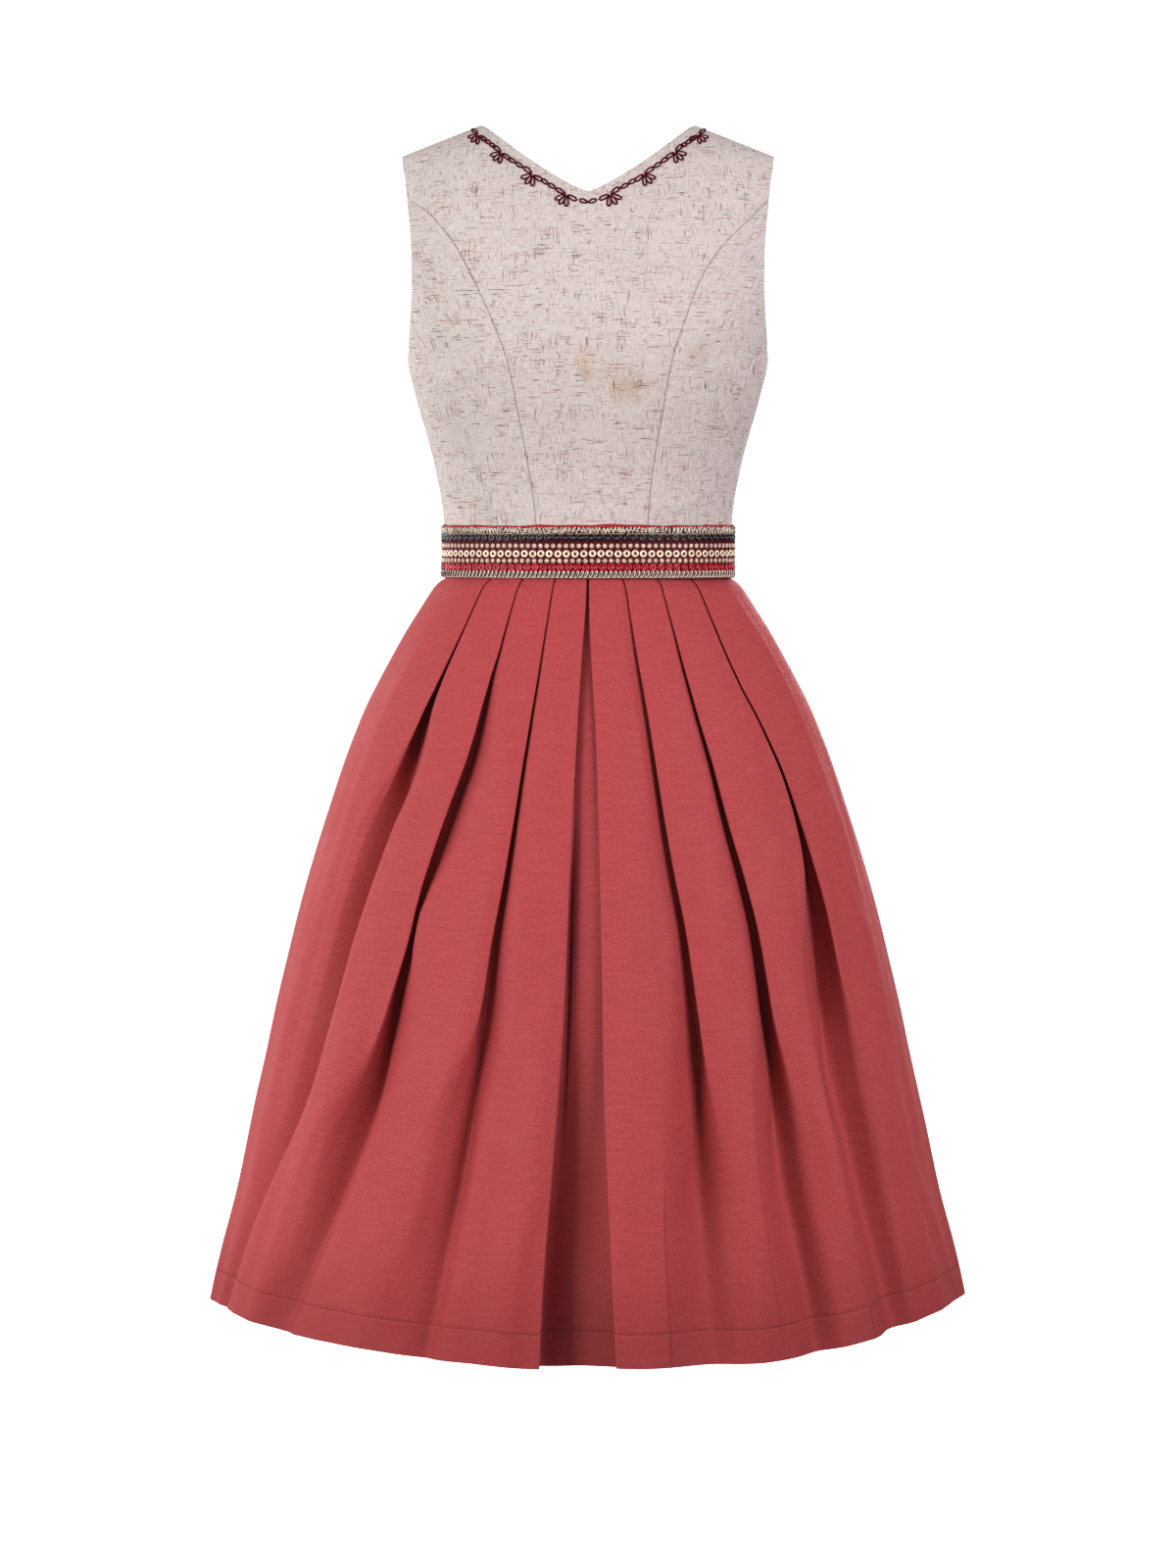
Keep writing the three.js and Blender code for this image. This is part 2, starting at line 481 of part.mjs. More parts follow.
// ---------- assembly ----------
const NECK_U = [0, 0.13, 0.27, 0.412, 0.6, 0.8, 1];
const mirrored = (list) => [...list.slice(1).map((u) => -u).reverse(), ...list];
const group = new THREE.Group();
group.name = 'dirndl';
group.add(
  topPanel('bodice_front_centre', 1, frontEdge, mirrored(NECK_U)),
  sideFront('bodice_side_front_left', 1, princess.left),
  sideFront('bodice_side_front_right', -1, princess.right),
  topPanel('bodice_back', -1, backEdge, mirrored([0, 0.13, 0.27, 0.412, 0.56, 0.71, 0.86, 1]),
    EDGE_Z.filter((z) => ![-71.5, -65, -50].includes(z))),
  beltMesh('belt_band', bandProfile, cloth(0x8c2a33), BELT_START, BELT_END),
  beltMesh('belt_trim', trimProfile, cloth(0xb08a55, 0.5), BELT_START, BELT_END),
  skirtHalf('skirt_front', 1, quarters.frontLeft, quarters.frontRight),
  skirtHalf('skirt_back', -1, quarters.backLeft, quarters.backRight),
);
export default group;
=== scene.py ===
"""Looks of the dirndl: linen bodice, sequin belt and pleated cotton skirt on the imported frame."""

import math

import bpy
import numpy as np
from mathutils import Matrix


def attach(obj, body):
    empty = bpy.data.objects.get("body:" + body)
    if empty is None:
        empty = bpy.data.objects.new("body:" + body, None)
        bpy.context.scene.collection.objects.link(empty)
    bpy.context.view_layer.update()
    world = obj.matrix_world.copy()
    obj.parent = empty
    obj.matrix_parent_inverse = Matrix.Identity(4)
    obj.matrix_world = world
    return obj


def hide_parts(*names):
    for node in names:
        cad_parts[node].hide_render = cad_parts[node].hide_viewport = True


MM = 0.001
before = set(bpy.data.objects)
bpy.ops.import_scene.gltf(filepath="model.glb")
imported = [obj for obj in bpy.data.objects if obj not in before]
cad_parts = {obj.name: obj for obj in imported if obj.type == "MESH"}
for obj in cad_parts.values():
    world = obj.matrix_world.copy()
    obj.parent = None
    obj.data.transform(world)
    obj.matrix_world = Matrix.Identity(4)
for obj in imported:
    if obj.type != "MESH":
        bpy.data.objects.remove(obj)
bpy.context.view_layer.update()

# heights in mm; z is 0 between the shoulders, as in part.mjs
SHOULDER_END = -19.0     # outer end of the shoulder seam
PRINCESS_TOP = -62.0     # where the princess seams leave the armholes
YOKE = -125.0            # above it front and back lean together
ARMHOLE_FOOT = -205.0    # top of the side seams
BODICE_FOOT = -384.7     # hidden under the belt
HEM_STITCHES = -1066.0   # top of the turned-up hem
HEM = -1096.0
NECK_X, SLOPE = 99.5, 29 / 75   # neck end and fall of the shoulder seam


# ---------------------------------------------------------------- camera and light
def camera():
    """The photo's viewpoint: 3.3 m away, slightly above the belt, looking a little down."""
    cam = bpy.data.objects.new("camera", bpy.data.cameras.new("camera"))
    bpy.context.collection.objects.link(cam)
    cam.data.lens = 80.5
    cam.data.sensor_width = 36
    cam.data.clip_end = 60
    cam.location = (0.0, -3.3, -0.365)
    cam.rotation_euler = (math.radians(90 - 4.157), 0, 0)
    bpy.context.scene.camera = cam


def area_light(name, loc, aim, size, power, color=(1, 1, 1)):
    """Rectangular lamp at loc that faces aim (m); power in watts."""
    data = bpy.data.lights.new(name, "AREA")
    data.shape = "RECTANGLE"
    data.size, data.size_y = size
    data.energy = power
    data.color = color
    ob = bpy.data.objects.new(name, data)
    bpy.context.collection.objects.link(ob)
    ob.location = loc
    d = np.array(aim, float) - np.array(loc, float)
    d /= np.linalg.norm(d)
    ob.rotation_euler = (math.acos(-d[2]), 0, math.atan2(-d[0], d[1]))


def rgb(r, g, b):
    """sRGB 0-255 to linear."""
    out = []
    for c in (r, g, b):
        c /= 255.0
        out.append(c / 12.92 if c <= 0.04045 else ((c + 0.055) / 1.055) ** 2.4)
    return (*out, 1.0)


def shade(color, *by):
    """Colour with each of its parts multiplied."""
    return (*(c * k for c, k in zip(color, by)), 1)


# ---------------------------------------------------------------- curves and small helpers
def curve(tab):
    """Monotone cubic through (x, y) pairs, for arrays."""
    tab = sorted(tab)
    x = np.array([p[0] for p in tab], float)
    y = np.array([p[1] for p in tab], float)
    h = np.diff(x)
    d = np.diff(y) / h
    m = np.zeros_like(x)
    m[0], m[-1] = d[0], d[-1]
    for i in range(1, len(x) - 1):
        if d[i - 1] * d[i] > 0:
            w1, w2 = 2 * h[i] + h[i - 1], h[i] + 2 * h[i - 1]
            m[i] = (w1 + w2) / (w1 / d[i - 1] + w2 / d[i])

    def f(v):
        v = np.clip(np.asarray(v, float), x[0], x[-1])
        i = np.clip(np.searchsorted(x, v, side="right") - 1, 0, len(x) - 2)
        t = (v - x[i]) / h[i]
        t2, t3 = t * t, t * t * t
        return ((2 * t3 - 3 * t2 + 1) * y[i] + (t3 - 2 * t2 + t) * h[i] * m[i]
                + (3 * t2 - 2 * t3) * y[i + 1] + (t3 - t2) * h[i] * m[i + 1])
    return f


def smooth(a, b, v):
    """0 at a, 1 at b, with soft ends."""
    t = np.clip((np.asarray(v, float) - a) / (b - a), 0, 1)
    return t * t * (3 - 2 * t)


def mix(a, b, t):
    return a + (b - a) * t


def hump(v, centre, width):
    """Bell of height 1."""
    return np.exp(-((v - centre) / width) ** 2)


def spow(v, e):
    """Power that keeps the sign."""
    return np.sign(v) * np.abs(v) ** e


def grid_normals(P):
    """Unit normals of a grid of points."""
    du = np.gradient(P, axis=1)
    dv = np.gradient(P, axis=0)
    n = np.cross(du, dv)
    return n / np.maximum(np.linalg.norm(n, axis=2, keepdims=True), 1e-12)


# ---------------------------------------------------------------- mesh building
def new_object(name, verts, faces, mats, uvs=None, flat=False):
    """Object from points in metres and faces of one kind; uvs for each point."""
    me = bpy.data.meshes.new(name)
    verts = np.asarray(verts, np.float32)
    faces = np.asarray(faces, np.int32)
    k = faces.shape[1]
    me.vertices.add(len(verts))
    me.vertices.foreach_set("co", verts.ravel())
    me.loops.add(faces.size)
    me.loops.foreach_set("vertex_index", faces.ravel())
    me.polygons.add(len(faces))
    me.polygons.foreach_set("loop_start", np.arange(0, faces.size, k, dtype=np.int32))
    me.polygons.foreach_set("loop_total", np.full(len(faces), k, np.int32))
    me.polygons.foreach_set("use_smooth", np.full(len(faces), not flat))
    if uvs is not None:
        layer = me.uv_layers.new(name="cloth")
        layer.data.foreach_set("uv", np.asarray(uvs, np.float32)[faces.ravel()].ravel())
    me.update(calc_edges=True)
    me.validate()
    ob = bpy.data.objects.new(name, me)
    bpy.context.collection.objects.link(ob)
    for m in mats:
        me.materials.append(m)
    return ob


def shell(name, outer, inner, uv, mats):
    """Closed thin cloth from two grids of points in millimetres; uv in millimetres."""
    R, C, _ = outer.shape
    verts = np.concatenate([outer.reshape(-1, 3), inner.reshape(-1, 3)]) * MM
    uvs = np.concatenate([uv.reshape(-1, 2)] * 2) * MM
    idx = np.arange(R * C).reshape(R, C)
    a, b, c, d = idx[:-1, :-1], idx[:-1, 1:], idx[1:, 1:], idx[1:, :-1]
    top = np.stack([a, b, c, d], -1).reshape(-1, 4)
    bot = np.stack([d, c, b, a], -1).reshape(-1, 4) + R * C
    n = R * C

    def rim(line):
        p, q = line[:-1], line[1:]
        return np.stack([q, p, p + n, q + n], -1)
    sides = [rim(idx[0, :]), rim(idx[:, -1]), rim(idx[-1, ::-1]), rim(idx[::-1, 0])]
    faces = np.concatenate([top, bot, *sides])
    p = verts[faces]
    vol = np.einsum("ij,ij->i", p[:, 0], np.cross(p[:, 1], p[:, 2])).sum() \
        + np.einsum("ij,ij->i", p[:, 0], np.cross(p[:, 2], p[:, 3])).sum()
    if vol < 0:
        faces = faces[:, ::-1]
    return new_object(name, verts, faces, mats, uvs)


def add_piece(ob, slot_name, *nodes):
    """Ties a piece to the frame; nodes are the solids it replaces."""
    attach(ob, "root")
    if nodes:
        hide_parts(*nodes)
    return ob


def tube(points, radius, sides=6, closed=False, normals=None):
    """Vertices and quads of a thread along points (mm); radius a number or one for each point."""
    P = np.asarray(points, float)
    n = len(P)
    if closed:
        T = np.roll(P, -1, 0) - np.roll(P, 1, 0)
    else:
        T = np.gradient(P, axis=0)
    T /= np.maximum(np.linalg.norm(T, axis=1, keepdims=True), 1e-9)
    ref = np.asarray(normals, float) if normals is not None else np.tile([0.0, -1.0, 0.0], (n, 1))
    A = ref - (ref * T).sum(1, keepdims=True) * T
    A /= np.maximum(np.linalg.norm(A, axis=1, keepdims=True), 1e-9)
    B = np.cross(T, A)
    rad = np.broadcast_to(np.asarray(radius, float), (n,))[:, None, None]
    ang = np.linspace(0, 2 * np.pi, sides, endpoint=False)
    ring = np.cos(ang)[None, :, None] * A[:, None, :] + np.sin(ang)[None, :, None] * B[:, None, :]
    V = (P[:, None, :] + rad * ring).reshape(-1, 3)
    i = np.arange(n if closed else n - 1)
    j = np.arange(sides)
    I, J = np.meshgrid(i, j, indexing="ij")
    I2, J2 = (I + 1) % n, (J + 1) % sides
    F = np.stack([I * sides + J, I * sides + J2, I2 * sides + J2, I2 * sides + J], -1).reshape(-1, 4)
    if not closed:
        c0, c1 = len(V), len(V) + 1
        V = np.concatenate([V, P[:1], P[-1:]])
        j2 = (j + 1) % sides
        e = (n - 1) * sides
        F = np.concatenate([F, np.stack([j2, j, np.full(sides, c0), np.full(sides, c0)], -1),
                            np.stack([e + j, e + j2, np.full(sides, c1), np.full(sides, c1)], -1)])
    return V, F


class Bunch:
    """Collects many small meshes into one object."""

    def __init__(self):
        self.v, self.f, self.n = [], [], 0

    def add(self, V, F):
        self.v.append(np.asarray(V, float))
        self.f.append(np.asarray(F) + self.n)
        self.n += len(V)

    def build(self, name, mat, slot_name, flat=False):
        V = np.concatenate(self.v) * MM
        F = np.concatenate(self.f)
        tri = F[:, 2] == F[:, 3]
        me = bpy.data.meshes.new(name)
        me.from_pydata(V.tolist(), [], [tuple(q[:3]) if t else tuple(q) for q, t in zip(F.tolist(), tri)])
        me.polygons.foreach_set("use_smooth", np.full(len(F), not flat))
        me.materials.append(mat)
        me.update()
        ob = bpy.data.objects.new(name, me)
        bpy.context.collection.objects.link(ob)
        return add_piece(ob, slot_name)


# ---------------------------------------------------------------- materials
class Nodes:
    """Short hand for node trees."""

    def __init__(self, name):
        self.mat = bpy.data.materials.new(name)
        self.mat.use_nodes = True
        self.t = self.mat.node_tree
        self.bsdf = self.t.nodes["Principled BSDF"]

    def new(self, kind, **props):
        n = self.t.nodes.new(kind)
        for k, v in props.items():
            setattr(n, k, v)
        return n

    def put(self, value, socket):
        if hasattr(value, "is_output") or isinstance(value, bpy.types.NodeSocket):
            self.t.links.new(value, socket)
        else:
            socket.default_value = value

    def math(self, op, a, b=0.0, c=0.0, clamp=False):
        n = self.new("ShaderNodeMath", operation=op, use_clamp=clamp)
        for v, s in zip((a, b, c), n.inputs):
            self.put(v, s)
        return n.outputs[0]

    def uv(self):
        n = self.new("ShaderNodeUVMap", uv_map="cloth")
        sep = self.new("ShaderNodeSeparateXYZ")
        self.t.links.new(n.outputs[0], sep.inputs[0])
        return sep.outputs[0], sep.outputs[1]

    def vec(self, x, y, z=0.0):
        n = self.new("ShaderNodeCombineXYZ")
        for v, s in zip((x, y, z), n.inputs):
            self.put(v, s)
        return n.outputs[0]

    def threads(self, uv, per_u, per_v, detail=2, rough=0.6, shift=(0.0, 0.0)):
        """Noise drawn out along the cloth, with per_u and per_v turns for each metre."""
        stretched = [self.math("MULTIPLY_ADD", w, per, by) for w, per, by in zip(uv, (per_u, per_v), shift)]
        return self.noise(self.vec(*stretched), 1, detail, rough)

    def noise(self, vec, scale=1.0, detail=2.0, rough=0.5):
        n = self.new("ShaderNodeTexNoise")
        self.put(vec, n.inputs["Vector"])
        n.inputs["Scale"].default_value = scale
        n.inputs["Detail"].default_value = detail
        n.inputs["Roughness"].default_value = rough
        return n.outputs[0]

    def ramp(self, v, a, b, lo=0.0, hi=1.0):
        n = self.new("ShaderNodeMapRange", interpolation_type="SMOOTHSTEP")
        for x, s in zip((v, a, b, lo, hi), n.inputs):
            self.put(x, s)
        return n.outputs[0]

    def blend(self, fac, a, b, kind="MIX"):
        n = self.new("ShaderNodeMix", data_type="RGBA", blend_type=kind)
        self.put(fac, n.inputs[0])
        self.put(a, n.inputs[6])
        self.put(b, n.inputs[7])
        return n.outputs[2]

    def bump(self, height, distance, strength=1.0):
        n = self.new("ShaderNodeBump")
        n.inputs["Strength"].default_value = strength
        n.inputs["Distance"].default_value = distance
        self.put(height, n.inputs["Height"])
        self.t.links.new(n.outputs[0], self.bsdf.inputs["Normal"])

    def finish(self, color, rough, sheen=0.0, metal=0.0, coat=0.0, spec=0.5):
        self.put(color, self.bsdf.inputs["Base Color"])
        self.put(rough, self.bsdf.inputs["Roughness"])
        self.bsdf.inputs["Sheen Weight"].default_value = sheen
        self.bsdf.inputs["Sheen Roughness"].default_value = 0.5
        self.bsdf.inputs["Metallic"].default_value = metal
        self.bsdf.inputs["Coat Weight"].default_value = coat
        self.bsdf.inputs["Coat Roughness"].default_value = 0.15
        self.bsdf.inputs["Specular IOR Level"].default_value = spec
        return self.mat


LINEN = (0.592, 0.548, 0.530, 1)
RIB_PITCH = (0.0019, 0.0016)  # m between ribs across and up the cloth
# slubs: turns for each metre across and up, scale of their patches, threshold, tint,
# threads that they follow (0 weft, 1 warp), strength
SLUBS = (
    (44, 900, 46, 0.642, rgb(100, 62, 62), 0, 0.85),
    (36, 840, 36, 0.655, rgb(160, 80, 66), 0, 0.80),
    (84, 980, 62, 0.655, rgb(78, 46, 48), 0, 0.90),
    (860, 50, 44, 0.642, rgb(104, 70, 74), 1, 0.85),
    (920, 84, 60, 0.655, rgb(146, 66, 60), 1, 0.85),
)


def linen_material(name, stains=()):
    """Slub linen: ribbed plain weave with dark and rust slubs along both threads."""
    m = Nodes(name)
    u, v = uv = m.uv()
    warp = m.threads(uv, 1300, 150, rough=0.65)
    weft = m.threads(uv, 130, 1300, rough=0.65)
    fleck = m.threads(uv, 900, 900, 1, 0.5)
    rib_u = m.math("SINE", m.math("MULTIPLY", u, 2 * math.pi / RIB_PITCH[0]))
    rib_v = m.math("SINE", m.math("MULTIPLY", v, 2 * math.pi / RIB_PITCH[1]))
    cloud = m.noise(m.vec(u, v), 20, 3, 0.6)
    tone = m.noise(m.vec(u, v, 4.0), 9, 2, 0.5)
    dark = shade(LINEN, 0.83, 0.78, 0.77)
    light = shade(LINEN, 1.15, 1.17, 1.16)
    col = m.blend(m.ramp(warp, 0.26, 0.74), dark, light)
    col = m.blend(m.ramp(weft, 0.50, 0.72, 0.0, 0.65), col, light)
    col = m.blend(m.ramp(weft, 0.50, 0.28, 0.0, 0.55), col, dark)
    col = m.blend(m.ramp(fleck, 0.56, 0.72, 0.0, 0.40), col, dark)
    ribs = m.math("ADD", m.math("MULTIPLY", rib_u, 0.55), m.math("MULTIPLY", rib_v, 0.35))
    ribs = m.math("MULTIPLY", ribs, 0.16)
    col = m.blend(m.ramp(ribs, 0.02, -0.13, 0.0, 0.42), col, dark)
    col = m.blend(m.ramp(cloud, 0.38, 0.68, 0.0, 0.10), col, dark)
    col = m.blend(m.ramp(tone, 0.40, 0.62, 0.0, 0.05), col, (0.74, 0.60, 0.50, 1), "MULTIPLY")
    dashes = [m.math("ADD", 0.8, m.math("MULTIPLY", rib, 0.2)) for rib in (rib_u, rib_v)]
    # slubs along weft and warp: long thin noise, shown only in patches
    for k, (per_u, per_v, patches, cut, tint, way, most) in enumerate(SLUBS):
        line = m.threads(uv, per_u, per_v, 1, 0.4, shift=(7.3 * k, 3.1 * k))
        patch = m.noise(m.vec(m.math("ADD", u, 1.7 * k), v, 0.5 * k), patches, 2, 0.6)
        f = m.math("MULTIPLY", m.ramp(line, cut, cut + 0.045), m.ramp(patch, 0.44, 0.58))
        col = m.blend(m.math("MULTIPLY", m.math("MULTIPLY", f, dashes[way]), most), col, tint)
    # knots
    for scale, share, size in ((62, 0.45, 1.0), (130, 0.66, 1.25)):
        spots = m.new("ShaderNodeTexVoronoi", feature="F1")
        m.put(m.vec(u, v), spots.inputs["Vector"])
        spots.inputs["Scale"].default_value = scale
        near = m.ramp(spots.outputs["Distance"], 0.075 * size, 0.040 * size)
        pick = m.new("ShaderNodeSeparateColor")
        m.t.links.new(spots.outputs["Color"], pick.inputs[0])
        near = m.math("MULTIPLY", near, m.ramp(pick.outputs[0], share, share + 0.06))
        tint = m.blend(pick.outputs[1], rgb(92, 52, 54), rgb(178, 84, 76))
        col = m.blend(m.math("MULTIPLY", near, 0.8), col, tint)
    for x, z, rx, rz, tint, most in stains:
        dx = m.math("DIVIDE", m.math("SUBTRACT", u, x * MM), rx * MM)
        dz = m.math("DIVIDE", m.math("SUBTRACT", v, z * MM), rz * MM)
        d = m.math("SQRT", m.math("ADD", m.math("MULTIPLY", dx, dx), m.math("MULTIPLY", dz, dz)))
        ragged = m.math("SUBTRACT", m.noise(m.vec(u, v), 90, 4, 0.7), 0.5)
        d = m.math("ADD", d, m.math("MULTIPLY", ragged, 1.5))
        col = m.blend(m.ramp(d, 1.2, 0.1, 0.0, most), col, tint, "MULTIPLY")
    height = m.math("ADD", m.math("MULTIPLY", m.math("ADD", warp, weft), 0.7), ribs)
    m.bump(height, 0.0006, 0.6)
    return m.finish(col, m.ramp(cloud, 0.3, 0.7, 0.80, 0.92), sheen=0.06, spec=0.5)


# place (mm on the cloth), half sizes, tint, strength
STAINS = (
    (-4, -214, 15, 17, (0.95, 0.86, 0.77, 1), 0.8), (2, -226, 9, 7, (0.96, 0.85, 0.77, 1), 0.7),
    (44, -240, 24, 15, (0.91, 0.84, 0.74, 1), 0.85), (36, -228, 32, 17, (0.96, 0.92, 0.87, 1), 0.7),
    (56, -232, 14, 10, (0.94, 0.88, 0.80, 1), 0.6),
)
SIDE_STAINS = ((112, -205, 15, 14, (0.91, 0.83, 0.76, 1), 0.85),)

COTTON = (0.426, 0.0765, 0.0805, 1)


def cotton_material(name):
    """Plain woven cotton, matte, with single threads across and painted shade that darkens it towards the hem.
    """
    m = Nodes(name)
    u, v = uv = m.uv()
    warp = m.threads(uv, 1100, 330)
    weft = m.threads(uv, 260, 1050)
    grain = m.threads(uv, 90, 2.2, 3)
    cloud = m.noise(m.vec(u, v), 14, 4, 0.6)
    thread = m.threads(uv, 34, 780)
    dark = shade(COTTON, 0.86, 0.78, 0.80)
    light = shade(COTTON, 1.12, 1.30, 1.30)
    col = m.blend(m.ramp(warp, 0.3, 0.7), dark, light)
    col = m.blend(m.ramp(weft, 0.32, 0.68, 0.55, 0.0), col, dark)
    col = m.blend(m.ramp(weft, 0.50, 0.74, 0.0, 0.45), col, light)
    col = m.blend(m.ramp(grain, 0.46, 0.70, 0.0, 0.10), col, dark)
    col = m.blend(m.ramp(cloud, 0.42, 0.70, 0.0, 0.12), col, light)
    col = m.blend(m.ramp(thread, 0.52, 0.66, 0.0, 0.55), col, dark)
    col = m.blend(m.ramp(thread, 0.48, 0.34, 0.0, 0.45), col, light)
    # painted shade: the cloth darkens from 970 mm to 1090 mm below the shoulders, standing in for less light at
    # the hem
    col = m.blend(m.ramp(v, -0.97, -1.09, 0.0, 0.40), col, shade(COTTON, 0.6, 0.45, 0.5))
    m.bump(m.math("ADD", warp, weft), 0.0005, 0.5)
    return m.finish(col, m.ramp(cloud, 0.3, 0.7, 0.66, 0.76), sheen=0.04, spec=0.5)


def thread_material(name, color, rough=0.7, scale=900, contrast=0.35, sheen=0.2, **gloss):
    """Thread, bead or sequin: one colour with fine dark grain; gloss as in Nodes.finish."""
    m = Nodes(name)
    pos = m.new("ShaderNodeTexCoord").outputs["Object"]
    n = m.noise(pos, scale, 2, 0.6)
    dark = shade(color, *[1 - contrast] * 3)
    m.bump(n, 0.0003, 0.5)
    gloss = {"spec": 0.4, **gloss}
    return m.finish(m.blend(m.ramp(n, 0.35, 0.65), dark, color), rough, sheen=sheen, **gloss)


# ---------------------------------------------------------------- bodice form (same sizes as the solids)
half_width = curve([(-385, 134.2), (-362, 134.5), (-356, 135.1), (-342, 136.6), (-328, 138.8),
                    (-315, 141.6), (-301, 144.4), (-287, 148.1), (-273, 152), (-260, 155.9),
                    (-246, 159.7), (-232, 163.3), (-219, 166.7), (-205, 168.7), (-190, 172.5),
                    (-170, 177), (-145, 180.5), (-110, 182), (-60, 182), (20, 182)])
front_depth = curve([(-385, 93.4), (-362, 93.6), (-330, 95), (-300, 98), (-270, 102.5), (-240, 107),
                     (-215, 109.5), (-195, 110), (-170, 108), (-140, 103), (-110, 97), (-80, 91),
                     (-50, 85), (-19, 80), (20, 76)])
back_depth = curve([(-385, 93.4), (-362, 93.4), (-330, 91), (-300, 89), (-260, 90), (-220, 94),
                    (-170, 98), (-130, 99), (-95, 96), (-60, 90), (-19, 82), (20, 78)])
roundness = curve([(-385, 2.0), (-362, 2.0), (-300, 2.12), (-240, 2.25), (-200, 2.3), (-100, 2.4), (20, 2.4)])


def shoulder_z(x):
    return 10 - (np.abs(x) - 100) * SLOPE


def bodice_point(side, deg, z):
    """side +1 front, -1 back; deg from the centre, up to 90 at the side seam."""
    deg, z = np.broadcast_arrays(np.asarray(deg, float), np.asarray(z, float))
    over = np.abs(deg) > 90
    d = np.where(over, np.sign(deg) * (180 - np.abs(deg)), deg)
    s = np.where(over, -side, side)
    e = 2 / roundness(z)
    r = np.radians(d)
    x = half_width(z) * spow(np.sin(r), e)
    k = np.where(z > YOKE, np.sqrt(np.clip(1 - ((z - YOKE) / (shoulder_z(x) - YOKE)) ** 2, 0, 1)), 1.0)
    depth = np.where(s > 0, front_depth(z), back_depth(z))
    y = -s * depth * spow(np.cos(r), e) * k
    return np.stack([x, y, z], -1)


# edges of the panels: (z, azimuth) pairs
armhole_front = curve([(-205, 90), (-204.7, 86.4), (-203.6, 82.6), (-200, 77.6), (-193, 74.3),
                       (-180, 68.9), (-167, 65.2), (-140, 61.5), (-114, 60.9), (-86, 62.2),
                       (-72, 63.6), (-58, 64.9), (-44, 66.3), (-30, 69.0), (-19, 70.4)])
armhole_back = curve([(-205, 90), (-204.7, 86.0), (-203.6, 82.0), (-200, 76.8), (-193, 72.6),
                      (-180, 67), (-167, 63.4), (-140, 60), (-114, 59.6), (-86, 61),
                      (-72, 62.4), (-58, 63.8), (-44, 65.5), (-30, 68.4), (-19, 70.4)])
princess_left = curve([(-62, 64.7), (-69.5, 58.9), (-83, 50.6), (-106, 39.2), (-130, 32.2), (-156, 28.3),
                       (-176, 26.6), (-186, 25.8), (-210, 24.2), (-235, 23.5), (-291, 23.6), (-360, 24.2),
                       (-386, 24.4)])
princess_right = curve([(-62, 64.7), (-69.5, 54.6), (-87, 44.9), (-106, 38.1), (-128, 33.2), (-149, 29.7),
                        (-176, 26.2), (-186, 25.3), (-224, 22.4), (-287, 21.7), (-357, 20.8), (-386, 20.5)])
BACK_NECK = -62.0  # lowest point of the back neckline
front_neck = curve([(0, -58.2), (5.4, -56.6), (10.7, -54.2), (21.4, -48.4), (32.2, -41.8), (42.9, -34.7),
                    (53.8, -27.0), (64.6, -18.8), (75.6, -9.9), (86.7, -0.6), (94.3, 5.9), (NECK_X, 10.2)])


def top_z(side, x):
    ax = np.abs(x)
    neck = front_neck(ax) if side > 0 else BACK_NECK + (10.2 - BACK_NECK) * (ax / NECK_X) ** 1.35
    return np.where(ax < NECK_X, neck, shoulder_z(x))


def front_edge(sgn, z):
    seam = np.where(sgn > 0, princess_left(z), princess_right(z))
    return np.where(z < PRINCESS_TOP, seam, armhole_front(z))


def back_edge(sgn, z):
    return np.where(z < ARMHOLE_FOOT, 90.0, armhole_back(z))


# Uneven wear creases: (x, z, angle deg, length, width, height) on the front and the back
CREASES = {
    1: [(118, -222, -28, 34, 6, 0.9), (112, -240, -38, 26, 5, -0.7), (-120, -226, 30, 32, 6, 0.9),
        (-108, -246, 42, 24, 5, -0.7), (62, -346, 8, 30, 4, 0.8), (-70, -350, -10, 26, 4, 0.7),
        (12, -352, 4, 30, 4, 0.5), (-24, -338, -6, 26, 4, -0.5), (96, -336, 16, 22, 4, 0.7),
        (-104, -332, -18, 22, 4, 0.6), (140, -150, -70, 26, 6, 0.8), (-138, -146, 72, 24, 6, 0.7),
        (30, -300, 82, 34, 9, 0.4), (-34, -288, 96, 38, 9, 0.4), (0, -120, 88, 40, 16, -0.5)],
    -1: [(50, -345, 6, 34, 4, 0.9), (-40, -350, -8, 30, 4, 0.8), (0, -328, 2, 44, 5, 0.8),
         (96, -330, 20, 26, 5, 0.8), (-92, -334, -22, 26, 5, 0.8), (112, -230, -30, 32, 6, 0.8),
         (-116, -236, 32, 32, 6, 0.8), (0, -200, 90, 60, 14, -0.8), (60, -140, 70, 40, 10, 0.5),
         (-64, -146, -72, 42, 10, 0.5)],
}


def crease(side, x, z):
    """Height of the wear creases at (x, z)."""
    out = np.zeros_like(x)
    for cx, cz, ang, length, width, height in CREASES[side]:
        a = math.radians(ang)
        p = (x - cx) * math.cos(a) + (z - cz) * math.sin(a)
        q = -(x - cx) * math.sin(a) + (z - cz) * math.cos(a)
        q = q + 2.5 * np.sin(p / length * 2.1 + cx)
        out += height * np.exp(-(p / length) ** 2 - (q / width) ** 2)
    return out


def flat_u(P, centre):
    """Distance along each row from column centre, so that a pattern lies true on the cloth."""
    seg = np.linalg.norm(np.diff(P, axis=1), axis=2)
    s = np.concatenate([np.zeros((len(P), 1)), np.cumsum(seg, 1)], 1)
    return s - s[:, centre:centre + 1]


